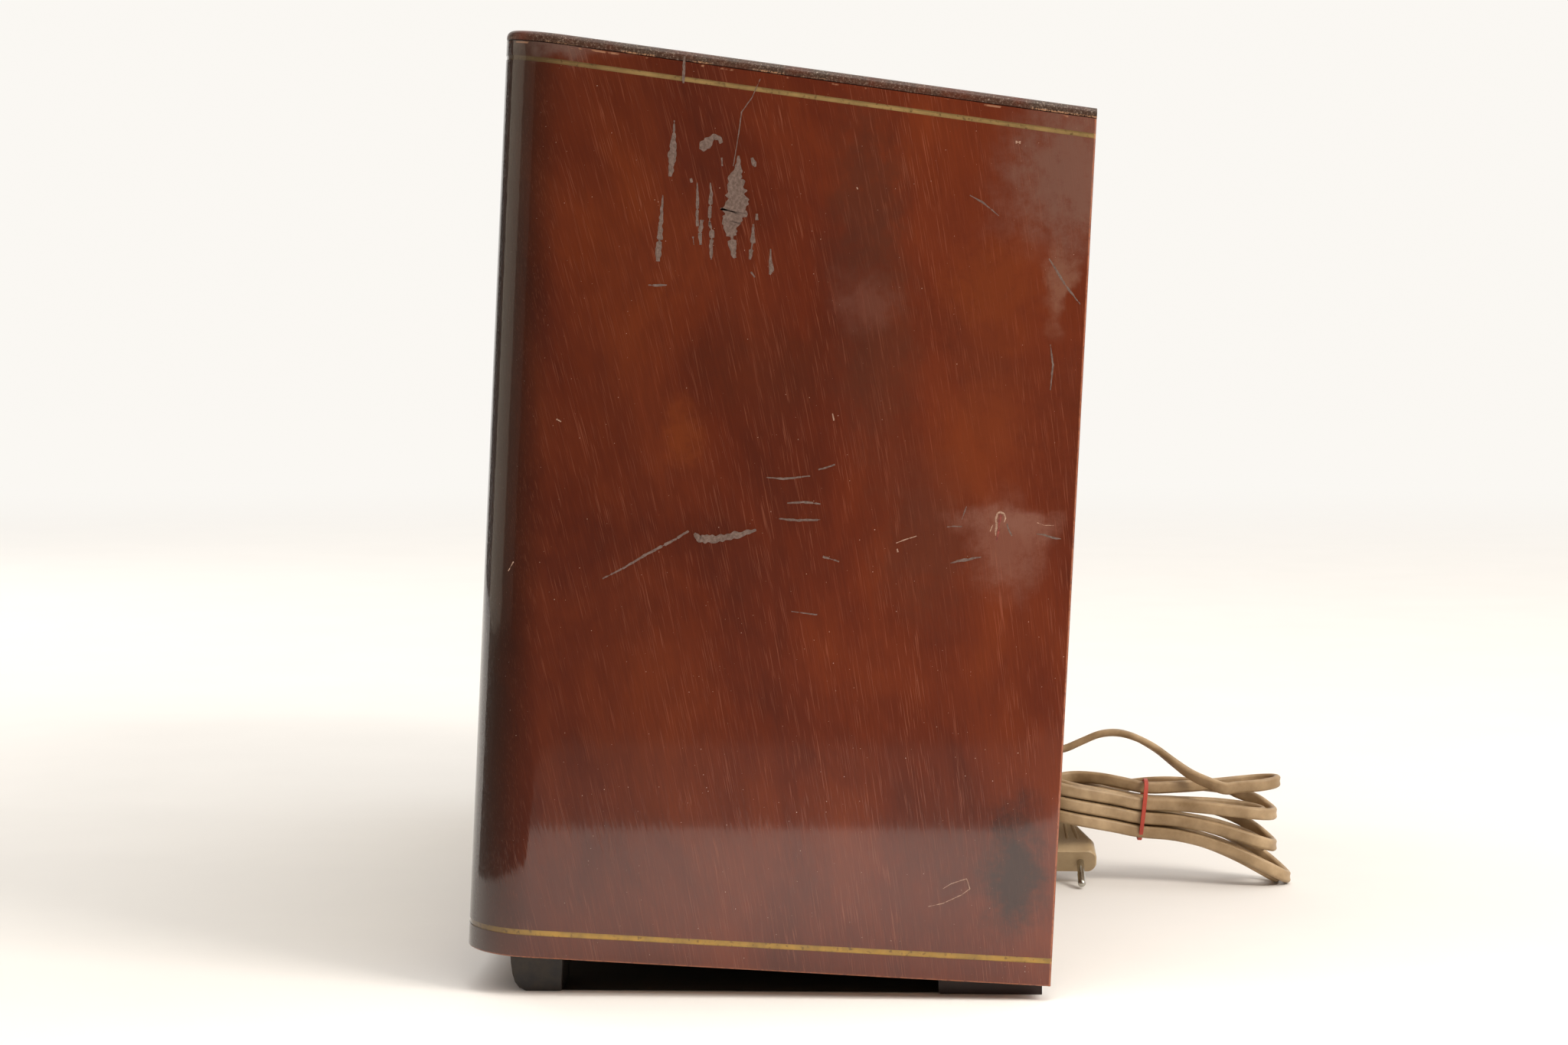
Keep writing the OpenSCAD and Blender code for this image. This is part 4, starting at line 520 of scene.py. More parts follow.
def rubbed_edge(tree, place, x, u, v):
    """The top's edge: varnish rubbed to a dull grey-brown, raw chips at its foot, and the dark seam."""
    away = add(tree, "Math", {0: x}, operation="ABSOLUTE")
    side = add(tree, "MapRange", {"Value": away.outputs[0], "From Min": HALF_W - 8.9,
                                  "From Max": HALF_W - 2.9})
    front = add(tree, "MapRange", {"Value": u, "From Min": 9, "From Max": 3})
    edge = add(tree, "Math", {0: side.outputs[0], 1: front.outputs[0]}, operation="MAXIMUM")
    grit = add(tree, "TexNoise", {"Vector": place, "Scale": 1.1, "Detail": 3,
                                  "Roughness": 0.8}).outputs["Fac"]
    tide = add(tree, "TexNoise", {"Vector": place, "Scale": 0.05, "Detail": 3}).outputs["Fac"]
    worn = add(tree, "ValToRGB", {"Fac": grit},
               stops=[(0.4, "#37281f"), (0.54, "#4b392e"), (0.62, "#6b5b4f"), (0.7, "#9a9084")])
    much = add(tree, "MapRange", {"Value": tide, "From Min": 0.3, "From Max": 0.55, "To Min": 0.35})
    rubbed = add(tree, "Math", {0: much.outputs[0], 1: edge.outputs[0]}, operation="MULTIPLY")
    slope = add(tree, "Math", {0: u, 1: FALL, 2: v}, operation="MULTIPLY_ADD").outputs[0]
    foot = add(tree, "MapRange", {"Value": slope, "From Min": SEAM_V + 0.6, "From Max": SEAM_V + 1.2,
                                  "To Min": 1, "To Max": 0})
    chips = add(tree, "MapRange", {"Value": tide, "From Min": 0.5, "From Max": 0.54})
    dots = add(tree, "MapRange", {"Value": grit, "From Min": 0.46, "From Max": 0.5})
    raw = add(tree, "Math", {0: foot.outputs[0], 1: chips.outputs[0]}, operation="MULTIPLY")
    raw = add(tree, "Math", {0: raw.outputs[0], 1: dots.outputs[0]}, operation="MULTIPLY")
    seam = add(tree, "MapRange", {"Value": slope, "From Min": SEAM_V + 0.2, "From Max": SEAM_V + 0.45,
                                  "To Min": 1, "To Max": 0})
    return [("MIX", rubbed.outputs[0], worn.outputs[0]), ("MIX", raw.outputs[0], "#a87c5c"),
            ("MIX", seam.outputs[0], "#0d0806")]


def veneer(name, upright=False, layers=(), gloss=1.0, blur=0.05):
    """Mahogany, sliced to veneer, under worn gloss varnish.

    The eye sees broad red and dark figure, fine light pores that run with the grain, and a wet shine that is
    dull where the varnish has worn.
    """
    colours = bpy.context.scene.radio_colours
    material, tree, shader, place = start(name, IOR=1.5, Specular_IOR_Level=0.12, Coat_Weight=gloss,
                                          Coat_Roughness=blur, Coat_IOR=1.52)
    x, u, v = add(tree, "SeparateXYZ", {"Vector": place}).outputs
    wood = place
    turn = (0, 0, 0)
    if upright:
        turn = (GRAIN_TURN, 0, 0)
        area = add(tree, "Math", {0: v, 1: u}, operation="MULTIPLY")
        shear = add(tree, "Math", {0: area.outputs[0], 1: GRAIN_SHEAR, 2: u}, operation="MULTIPLY_ADD")
        wood = add(tree, "CombineXYZ", {"X": x, "Y": shear.outputs[0], "Z": v}).outputs[0]
    # Sizes across and along the grain: clouds of the figure, streaks, and pores as hairlines
    broad, thin, slit = (
        add(tree, "Mapping", {"Vector": wood, "Rotation": turn,
                              "Scale": (wide, wide, far) if upright else (far, wide, wide)},
            vector_type="TEXTURE").outputs[0]
        for wide, far in ((52, 110), (1, 22), (0.3, 15)))
    figure = add(tree, "TexNoise", {"Vector": broad, "Scale": 1, "Detail": 4, "Roughness": 0.6,
                                    "Distortion": 0.4})
    tones = add(tree, "ValToRGB", {"Fac": figure.outputs["Fac"]},
                stops=[(0.28, colours.darkest), (0.45, colours.dark), (0.58, colours.light),
                       (0.74, colours.lightest)])
    streak = add(tree, "TexNoise", {"Vector": thin, "Scale": 1, "Detail": 3, "Roughness": 0.7})
    depth = add(tree, "MapRange", {"Value": streak.outputs["Fac"], "From Min": 0.3, "From Max": 0.7,
                                   "To Min": 0.95, "To Max": 1.14})
    pore = add(tree, "TexNoise", {"Vector": slit, "Scale": 1, "Detail": 1.5, "Distortion": 0.2})
    fleck = add(tree, "MapRange", {"Value": pore.outputs["Fac"], "From Min": 0.6, "From Max": 0.68})
    group = add(tree, "TexNoise", {"Vector": thin, "Scale": 0.12, "Detail": 2})
    some = add(tree, "MapRange", {"Value": group.outputs["Fac"], "From Min": 0.36, "From Max": 0.62,
                                  "To Min": 0.06, "To Max": 0.28})
    pores = add(tree, "Math", {0: fleck.outputs[0], 1: some.outputs[0]}, operation="MULTIPLY")
    # Specks of dust in the varnish, under 1 mm across
    speck = add(tree, "TexNoise", {"Vector": place, "Scale": 1.3, "Detail": 0})
    dust = add(tree, "MapRange", {"Value": speck.outputs["Fac"], "From Min": 0.86, "From Max": 0.9,
                                  "To Max": 0.7})
    dull = add(tree, "TexNoise", {"Vector": broad, "Scale": 2.3, "Detail": 5, "Roughness": 0.65})
    rough = add(tree, "MapRange", {"Value": dull.outputs["Fac"], "From Min": 0.3, "From Max": 0.75,
                                   "To Min": 0.4, "To Max": 0.55})
    # Coats of colour over the figure: how each is mixed in, its mask and its colour. Layers give more
    coats = [("MULTIPLY", 1, depth.outputs[0]), ("MIX", pores.outputs[0], "#a0624a"),
             ("MIX", dust.outputs[0], "#c3a794")]
    for layer in layers:
        coats += layer(tree, place, x, u, v)
    colour = tones.outputs[0]
    for blend, mask, shade in coats:
        mixed = add(tree, "Mix", {0: mask, 6: colour, 7: shade}, data_type="RGBA", blend_type=blend)
        colour = mixed.outputs[2]
    swell = add(tree, "TexNoise", {"Vector": thin, "Scale": 0.5, "Detail": 2})
    hill = add(tree, "Bump", {"Height": swell.outputs["Fac"], "Strength": 0.3, "Distance": 0.12 * MM})
    sunk = add(tree, "Bump", {"Height": fleck.outputs[0], "Strength": 0.35, "Distance": 0.04 * MM,
                              "Normal": hill.outputs[0]}, invert=True)
    for key, socket in (("Base Color", colour), ("Roughness", rough.outputs[0]),
                        ("Normal", sunk.outputs[0]), ("Coat Normal", sunk.outputs[0])):
        tree.links.new(socket, shader.inputs[key])
    return material


def speaker_cloth():
    """Beige woven cloth: painted shade in its gaps, painted highlight on its raised threads, faded in soft
    clouds.
    """
    material, tree, shader, place = start("woven_speaker_cloth", Roughness=0.7, Sheen_Weight=0.2)
    parts = add(tree, "SeparateXYZ", {"Vector": place})
    waves = []
    for axis in ("X", "Z"):
        turn = add(tree, "Math", {0: parts.outputs[axis], 1: 2 * math.pi / THREAD}, operation="MULTIPLY")
        wave = add(tree, "Math", {0: turn.outputs[0]}, operation="SINE")
        waves.append(wave.outputs[0])
    knit = add(tree, "Math", {0: waves[0], 1: waves[1]}, operation="MULTIPLY")
    height = add(tree, "MapRange", {"Value": knit.outputs[0], "From Min": -1, "From Max": 1})
    # Painted shade and highlight: brown where the weave is low, pale gold where it is raised
    tone = add(tree, "ValToRGB", {"Fac": height.outputs[0]},
               stops=[(0.2, "#6b522f"), (0.55, bpy.context.scene.radio_colours.cloth), (0.9, "#dcc48c")])
    blot = add(tree, "TexNoise", {"Vector": place, "Scale": 0.02, "Detail": 4})
    fade = add(tree, "MapRange", {"Value": blot.outputs["Fac"], "To Min": 0.8, "To Max": 1.15})
    colour = add(tree, "VectorMath", {0: tone.outputs[0], 1: fade.outputs[0]}, operation="MULTIPLY")
    hill = add(tree, "Bump", {"Height": height.outputs[0], "Strength": 0.8, "Distance": 0.4 * MM})
    tree.links.new(colour.outputs[0], shader.inputs["Base Color"])
    tree.links.new(hill.outputs[0], shader.inputs["Normal"])
    return material


class RADIO_OT_stage(bpy.types.Operator):
    """Sets the camera at the photograph's angle, a pale floor and soft studio light"""

    bl_idname = "radio.stage"
    bl_label = "Camera, floor and light"

    def execute(self, context):
        scene = context.scene
        self.set_camera(scene, scene.radio_stage)
        self.lay_floor(scene.radio_colours.floor)
        self.put_flags()
        self.set_surround(scene, scene.radio_stage.surround)
        self.hang_lamps(scene)
        return {"FINISHED"}

    def set_camera(self, scene, sizes):
        """The camera, at the photograph's viewing angle."""
        data = bpy.data.cameras.new("camera")
        data.sensor_width = 36
        data.lens = sizes.focal
        data.clip_start = 0.05
        data.clip_end = 60
        camera = bpy.data.objects.new("camera", data)
        scene.collection.objects.link(camera)
        yaw, pitch, roll = (math.radians(a) for a in CAMERA_TURN)
        way = Vector((-math.cos(yaw) * math.cos(pitch), math.sin(yaw) * math.cos(pitch), -math.sin(pitch)))
        level = way.to_track_quat("-Z", "Y")
        camera.rotation_mode = "QUATERNION"
        camera.rotation_quaternion = level @ Matrix.Rotation(roll, 3, "Z").to_quaternion()
        camera.location = sizes.camera_place
        scene.camera = camera

    def lay_floor(self, tone):
        """The floor of background paper, and a dark sheet under the cabinet as painted shadow."""
        # Matt background paper: off-white, with faint clouds of fibre 100 mm wide
        paper = finish("matt_white_paper", tone, "#ebe9e6", 0.8, patch=100, Specular_IOR_Level=0.2)
        # Far off, it takes the light of the surround, so that no horizon shows
        tree = paper.node_tree
        away = add(tree, "VectorMath", {0: add(tree, "TexCoord").outputs["Object"]}, operation="LENGTH")
        far = add(tree, "MapRange", {"Value": away.outputs["Value"], "From Min": FADE[0],
                                     "From Max": FADE[1]}, interpolation_type="SMOOTHSTEP")
        lit = add(tree, "Emission", {"Color": "#fbf8f3"})
        both = add(tree, "MixShader", {0: far.outputs[0], 1: tree.nodes["Principled BSDF"].outputs[0],
                                       2: lit.outputs[0]})
        tree.links.new(both.outputs[0], tree.nodes["Material Output"].inputs["Surface"])
        self.sheet("floor", paper, [(-REACH, -REACH), (REACH, -REACH), (REACH, REACH), (-REACH, REACH)], 0)
        # Black sheet, dusty: painted shadow, the deep shade in the gap between the feet
        shadow_sheet = finish("painted_shadow_black", "#1b1613", "#231d18", 0.9, patch=60)
        x, front, rear = 0.284, -0.098, 0.105
        self.sheet("shadow_card", shadow_sheet, [(-x, front), (x, front), (x, rear), (-x, rear)], SHADOW_SHEET_Z)

    def put_flags(self):
        """Flags that only gloss mirrors: the dark room past the table, as the real varnish shows it."""
        # Wool felt: flat black, greys and a pale grey without any shine
        felt, grey, pale, dim = (
            finish(name, colour, second, 0.9, patch=60)
            for name, colour, second in (
                ("black_felt_flag", "#171614", "#1c1a18"), ("grey_felt_flag", "#6d6a66", "#75716d"),
                ("pale_felt_flag", "#cbc4b6", "#d1cabc"), ("dark_grey_felt_flag", "#6b655c", "#736d64")))
        # Near, far and left end of the mirrored table, and the round bay that the front corner mirrors
        near, far, side = 0.77, 1.15, -0.21
        bay_x, bay_y, bay_r = 0.28, -0.13, 0.38
        round_front = [(bay_x + bay_r * c, bay_y - bay_r * s) for c, s in arc(12, 120, 18)]
        flags = [
            self.sheet(name, cloth, outline, FLAG_Z)
            for name, cloth, outline in (
                ("flag_table", grey, [(near, side), (far, side), (far, REACH), (near, REACH)]),
                ("flag_floor", felt, [(far, side), (REACH, side), (REACH, REACH), (far, REACH)]),
                ("flag_front", felt, round_front + [(-4.2, -REACH), (REACH, -REACH), (REACH, side)]))
        ]
        # Upright flags in a round, from the right to the front, by the angles of their edges
        edges = (-38, 12, 58, 81, 116, 142)
        for number, cloth in enumerate((felt, felt, dim, pale, felt)):
            p, q = ((FLAG_R * c, -FLAG_R * s) for c, s in arc(edges[number], edges[number + 1], 1))
            flags.append(self.sheet("flag_%d" % number, cloth, [p, q, q, p], (0.0, 0.0, FLAG_H, FLAG_H)))
        for flag in flags:
            flag.visible_camera = False
            flag.visible_diffuse = False
            flag.visible_shadow = False
            flag.visible_transmission = False

    def sheet(self, name, material, outline, heights):
        """A sheet of the stage, from its outline and one height, or a height for each corner."""
        if isinstance(heights, (int, float)):
            heights = (heights,) * len(outline)
        data = bpy.data.meshes.new(name)
        corners = [(x, y, z) for (x, y), z in zip(outline, heights)]
        data.from_pydata(corners, [], [tuple(range(len(corners)))])
        data.materials.append(material)
        made = bpy.data.objects.new(name, data)
        bpy.context.scene.collection.objects.link(made)
        return made

    def set_surround(self, scene, strength):
        """Soft light from all round, brighter from behind the radio than from the camera's side."""
        world = bpy.data.worlds.new("studio")
        world.use_nodes = True
        tree = world.node_tree
        way = add(tree, "TexCoord").outputs["Generated"]
        toward = add(tree, "VectorMath", {0: way, 1: (0.75, -0.65, -0.6)}, operation="DOT_PRODUCT")
        part = add(tree, "MapRange", {"Value": toward.outputs["Value"], "From Min": -0.6, "From Max": 0.9})
        glow = add(tree, "ValToRGB", {"Fac": part.outputs[0]},
                   stops=[(0.05, "#fdfaf5"), (0.4, "#cbc6c0"), (0.85, "#85807a")])
        back = tree.nodes["Background"]
        back.inputs["Strength"].default_value = strength
        tree.links.new(glow.outputs[0], back.inputs["Color"])
        scene.world = world
        scene.view_settings.view_transform = "Standard"

    def hang_lamps(self, scene):
        """Soft boxes: name, place, aim, size in metres, watts, spread in degrees, colour, seen in gloss."""
        for name, place, aim, size, power, beam, shade, mirrored in (
                ("soft_box_ceiling", (0.0, 0.0, 7.0), (0.0, 0.0, 0.0), 14, 375, 180, "#fffaf4", True),
                ("soft_box_right", (1.35, 1.7, 1.75), (0.1, 0.0, 0.1), 0.9, 41, 180, "#fff6ea", True),
                ("soft_box_front", (-1.7, -1.9, 1.2), (0.0, -0.1, 0.15), 0.7, 10, 180, "#fffaf4", False),
                ("soft_box_table", (0.62, 0.1, 1.0), (0.62, 0.1, 0.0), 0.35, 0.8, 50, "#fff8f0", True)):
            light = bpy.data.lights.new(name, "AREA")
            light.size = size
            light.spread = math.radians(beam)
            light.energy = power
            light.color = linear(shade)[:3]
            lamp = bpy.data.objects.new(name, light)
            lamp.visible_glossy = mirrored
            scene.collection.objects.link(lamp)
            lamp.location = place
            lamp.rotation_mode = "QUATERNION"
            lamp.rotation_quaternion = (Vector(aim) - Vector(place)).to_track_quat("-Z", "Y")


def hank_point(t):
    """Middle of the cord in the hank at turn t: down through its inner layer, up through its outer one."""
    part = t - math.floor(t)
    # Levels run from 0, the lowest, to 3. The cord changes its level on the way along one run.
    if t < 4.5:
        level = 3 - max(0, min(3, math.floor(t) - 1 + ease(part, 0.28, 0.5)))
    elif t < 5:
        level = 0
    else:
        level = min(3, math.floor(t) - 5 + ease(part, 0, 0.25))
    # From the inner to the outer layer
    inner = 1 - ease(t, 4.14, 4.42)
    c, s = math.cos(-2 * math.pi * t), math.sin(-2 * math.pi * t)
    q = level - 1.5
    waist, lobe = (outer + inner * (less - outer) for outer, less in (HANK_WAIST, HANK_LOBE))
    if c > 0:
        reach = HANK_REAR + HANK_SPREAD * q * q
        lift = -HANK_SAG * c * c
        step = LEVEL_STEP + LEVEL_MORE * c * c
    else:
        reach = HANK_FRONT
        lift = -HANK_RISE * c
        step = LEVEL_STEP - LEVEL_LESS * c * c
    reach -= inner * HANK_LESS
    return Vector((s * (waist + lobe * c * c), HANK_Y + reach * c, HANK_Z + lift + q * step))


def cord_route():
    """Points of the whole cord in mm, each with the roll of its flat side in degrees."""
    first, last = HANK_TURNS
    turns = [hank_point(first + i / HANK_STEPS) for i in range(round((last - first) * HANK_STEPS) + 1)]
    before = turns[0] + CORD_W * (turns[0] - turns[1]).normalized()
    after = turns[-1] + CORD_W * (turns[-1] - turns[-2]).normalized()
    rear = PLUG_AT - PLUG_L * PLUG_WAY
    route = [(Vector(p[:3]), p[3]) for p in LEAD] + [(p, 90) for p in [before] + turns + [after]]
    route += [(Vector(p[:3]), p[3]) for p in TAIL] + [(rear - PLUG_LEAD * PLUG_WAY, 0), (rear, 0)]
    return route


class RADIO_OT_cord(bpy.types.Operator):
    """Lays the flat mains cord along its route: out of the grommet, through the tied hank, and to the plug"""

    bl_idname = "radio.cord"
    bl_label = "Mains cord"

    def execute(self, context):
        sizes = context.scene.radio_cord
        route = cord_route()
        per = 4
        line = [place * MM for place in smooth_line([place for place, roll in route], per)]
        turns = [roll for place, roll in route]
        rolls = [a + (b - a) * i / per for a, b in zip(turns, turns[1:]) for i in range(per)] + turns[-1:]
        # Aged PVC, extruded round two cores: beige with handling dirt and a dull waxy shine
        pvc = finish("aged_pvc_cord", context.scene.radio_colours.cord, "#b79c78", 0.5, patch=14, share=0.35,
                     bump=0.04, pit=2.5)
        points, faces = loft(self.rings(line, rolls, sizes.width, sizes.thickness))
        cord = make("mains_cord", points, faces, pvc, angle=50)
        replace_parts(cord, "cord_lead", "cord_hank", "cord_tail")
        band = self.band()
        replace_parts(band, "cord_band")
        # Moulded PVC: the cord's beige with finger marks, and smoother
        plug = finish("moulded_pvc_plug", "#a08866", "#b9a27e", 0.45, patch=12, bump=0.03, pit=1.2)
        dress(plug, "plug_body")
        # Nickel plate, polished: a warm bright silver
        nickel = finish("nickelled_pins", "#c9c6bd", "#b0aca0", 0.25, metal=1, patch=6)
        dress(nickel, "plug_pins")
        # Moulded rubber, aged: black under a dull grey bloom
        rubber = finish("aged_rubber_grommet", "#1d1a18", "#2b2724", 0.6, patch=9)
        dress(rubber, "cord_grommet", edge=0.4)
        return {"FINISHED"}

    def rings(self, line, rolls, width, thickness):
        """Sections of the flat twin cord along its line: two round lobes with a shallow web between them."""
        lobe = thickness / 2
        reach = width / 2 - lobe
        section = []
        for side in (1, -1):
            section += [(side * (reach + lobe * c), side * lobe * s) for c, s in arc(-72, 72, 8)]
            section.append((0, side * lobe * WEB))
        rings = []
        for i, place in enumerate(line):
            way = (line[min(i + 1, len(line) - 1)] - line[max(i - 1, 0)]).normalized()
            level = way.cross(Vector((0, 0, 1))).normalized()
            roll = math.radians(rolls[i])
            wide = math.cos(roll) * level + math.sin(roll) * level.cross(way)
            thin = way.cross(wide)
            rings.append([place + wide * a + thin * b for a, b in section])
        return rings

    def band(self):
        """The rubber band: a flat loop drawn tight round the hank's waist, a little slanted."""
        # Natural rubber, cut from a tube: red with paler, dusty stretches
        red = finish("natural_rubber_band", "#a8382a", "#c4503c", 0.55, patch=8, bump=0.05, pit=1.5)
        turns = 48
        rings = []
        for c, s in arc(0, 360, turns)[:turns]:
            wide = BAND_SIZE[0] * math.copysign(abs(c) ** 0.5, c)
            high = BAND_SIZE[1] * math.copysign(abs(s) ** 0.72, s)
            out = Vector((c, 0, s))
            ring = []
            for side, lift in ((-1, 0.1), (1, 0.1), (0.85, 0.95), (-0.85, 0.95)):
                place = Vector((wide, HANK_Y + side * BAND_HALF + high * 0.11, HANK_Z + high)) + out * lift
                ring.append(place * MM)
            rings.append(ring)
        points, faces = loft(rings, closed=True)
        return make("rubber_band", points, faces, red)


class RADIO_OT_cabinet(bpy.types.Operator):
    """Builds the veneered sides and top with their gilt lines and worn edges, the marks and the feet"""

    bl_idname = "radio.cabinet"
    bl_label = "Cabinet"

    def execute(self, context):
        wood = veneer("mahogany_side_gloss_varnish", upright=True, layers=(age, soft_patches, gilt_lines))
        cap = veneer("mahogany_top_worn_varnish", layers=(rubbed_edge,), gloss=0.4, blur=0.25)
        rails = veneer("mahogany_front_gloss_varnish")
        for side, name in ((-1, "left"), (1, "right")):
            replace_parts(self.side(side, "veneered_side_" + name, wood), "side_" + name)
        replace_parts(self.top(cap), "top_panel")
        dress(rails, "front_frame", edge=0.5)
        # Varnish scraped dull: a dry grey-brown dust
        scraped = finish("scraped_varnish", "#544138", "#715e55", 0.85, patch=1.1, share=0.3, bump=0.05,
                         pit=0.6)
        self.mark("varnish_scrapes", SCRAPED, scraped, 0.05)
        # Varnish chipped off: pale raw wood
        chipped = finish("chipped_varnish", "#84624f", "#b0917c", 0.8, patch=0.9, share=0.3, bump=0.05,
                         pit=0.5)
        self.mark("varnish_chips", CHIPPED, chipped, 0.07)
        # Mahogany torn by a knock: rough red fibre
        gouged = finish("gouged_mahogany", "#5c2018", "#8c4034", 0.7, patch=1.2, share=0.3, bump=0.05,
                        pit=0.5)
        self.mark("varnish_gouge", GOUGED, gouged, 0.085)
        # Black lacquer, brushed: near black, rubbed brown in spots
        black = finish("black_lacquered_feet", "#1a1412", "#33291f", 0.45, patch=6, share=0.3, bump=0.1,
                       pit=2)
        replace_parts(self.feet(black), "front_feet")
        # Stained beech, sawn: dark brown with streaks along its grain
        brown = finish("stained_beech_feet", "#231410", "#301c15", 0.5, patch=10, grain=(1, 0.2, 1),
                       bump=0.05)
        dress(brown, "rear_feet", edge=0.8)
        # Birch plywood, sanded and left raw: pale and dry, with long soft streaks
        ply = finish("raw_birch_plywood", "#b08a5e", "#c6a272", 0.7, patch=9, grain=(0.2, 1, 1), bump=0.06)
        dress(ply, "bottom_panel", "baffle_board", "back_battens", edge=0.3)
        return {"FINISHED"}

    def side(self, side, name, wood):
        """A bent side, from the stile round the corner to the rear, with the top's fall and the grooves."""
        turn = HALF_W - CORNER_R
        inner = CORNER_R - SIDE_T
        straight = DEPTH - 1.5 - CORNER_R
        # Points of the plan, and whether the grooves of the gilt lines cut them
        plan = [(STILE_X, SIDE_T, False), (STILE_X, 0, False)]
        plan += [(turn + CORNER_R * c, CORNER_R + CORNER_R * s, True) for c, s in arc(-90, 0, 24)]
        plan += [(HALF_W, CORNER_R + straight * i / 11, True) for i in range(1, 12)]
        plan += [(HALF_W - 0.2, DEPTH - 0.6, False), (HALF_W - 0.8, DEPTH, False)]
        plan.append((HALF_W - SIDE_T, DEPTH, False))
        plan += [(turn + inner * c, CORNER_R + inner * s, False) for c, s in arc(0, -90, 12)]

        def groove(v, slant, half):
            """Rows of a line's groove."""
            ends = ((-1, 0), (-1, GROOVE), (1, GROOVE), (1, 0))
            return [(v + end * half, slant, inset) for end, inset in ends]

        # Rows up the side: height, share of the top's fall, and how far the outside is set in
        rows = [(0, 0, 0.6), (0.3, 0, 0.15), (0.9, 0, 0)] + groove(LOW_LINE_V, 0, LOW_LINE_HALF)
        rows += [(120, 0.33, 0), (250, 0.66, 0)] + groove(HIGH_LINE_V, 1, HIGH_LINE_HALF)
        rows.append((SEAM_V, 1, 0))
        rings = []
        for level, slant, inset in rows:
            ring = []
            for x, u, outside in plan:
                v = level - slant * u * FALL
                if inset and outside:
                    away = Vector((x - turn, u - CORNER_R)).normalized() if u < CORNER_R else Vector((1, 0))
                    x -= away.x * inset
                    u -= away.y * inset
                ring.append(stood(side * x, u, v))
            rings.append(ring)
        points, faces = loft(rings)
        return make(name, points, faces, wood, angle=30)

    def top(self, cap):
        """The top: a thin strip with a rounded, rubbed edge over the rounded plan."""
        turn = HALF_W - CORNER_R
        # Points of the plan, each with its way out
        plan = [(-turn + CORNER_R * c, CORNER_R + CORNER_R * s, c, s) for c, s in arc(180, 270, 16)]
        plan += [(turn + CORNER_R * c, CORNER_R + CORNER_R * s, c, s) for c, s in arc(-90, 0, 16)]
        plan += [(HALF_W, DEPTH, 1, 0), (-HALF_W, DEPTH, -1, 0)]
        # Rows from the foot of the edge over its rounding: how far the plan is drawn in, and the height
        rows = [(0.5, -TOP_T), (0.1, 0.4 - TOP_T), (0, 0.9 - TOP_T)]
        rows += [(EDGE_R - EDGE_R * c, EDGE_R * s - EDGE_R) for c, s in arc(0, 90, 6)]
        rings = []
        for inset, height in rows:
            ring = []
            for x, u, out_x, out_u in plan:
                u = max(0, u - out_u * inset)
                ring.append(stood(x - out_x * inset, u, FRONT_H - u * FALL + height - SUNK))
            rings.append(ring)
        points, faces = loft(rings)
        return make("veneered_top", points, faces, cap, angle=30)

    def feet(self, black):
        """The two front feet: blocks that taper down to a rounded front edge."""
        base = -FRONT_LIFT / math.cos(LEAN)
        profile = [(19.5, 0), (20.1, -5), (21, -10), (22.2, -13.4), (24.2, -15.8), (27, base), (42, base),
                   (42.4, -16), (42.6, 0)]
        front, rear = profile[0][0], profile[-1][0]
        points, faces = [], []
        for side in (-1, 1):
            rings = []
            # Sections across a foot, drawn in at both of its sides
            for x, inset in ((254, 0.5), (254.4, 0), (285.4, 0), (286, 0.5)):
                ring = []
                for u, v in profile:
                    u = min(max(u, front + inset), rear - inset)
                    ring.append(stood(side * x, u, max(v, base + u * math.tan(LEAN) + inset)))
                rings.append(ring)
            more, skin = loft(rings, first=len(points))
            points += more
            faces += skin
        return make("lacquered_front_feet", points, faces, black, angle=30)

    def mark(self, name, marks, material, lift):
        """Ragged strips on the right side, lifted a little off it."""
        points, faces = [], []
        for number, strip in enumerate(marks):
            fine = []
            for a, b in zip(strip, strip[1:]):
                steps = max(2, int(math.hypot(b[0] - a[0], b[1] - a[1]) / MARK_STEP))
                fine += [tuple(p + (q - p) * i / steps for p, q in zip(a, b)) for i in range(steps)]
            fine.append(strip[-1])
            for i, (u, v, half) in enumerate(fine):
                before, after = fine[max(i - 1, 0)], fine[min(i + 1, len(fine) - 1)]
                way = Vector((after[0] - before[0], after[1] - before[1])).normalized()
                whole = noise.noise(Vector((i * 0.2, number * 3.7, 9))) > -0.42
                for s in (1, -1):
                    ragged = 1 + 0.6 * noise.noise(Vector((i * 0.24, number * 7.1, s * 3.3)))
                    reach = max(0.03, half * (ragged if whole else 0.3))
                    points.append(stood(HALF_W + lift, u - s * way.y * reach, v + s * way.x * reach))
                if i:
                    low = len(points) - 4
                    faces.append((low, low + 1, low + 3, low + 2))
        make(name, points, faces, material, smooth=False)


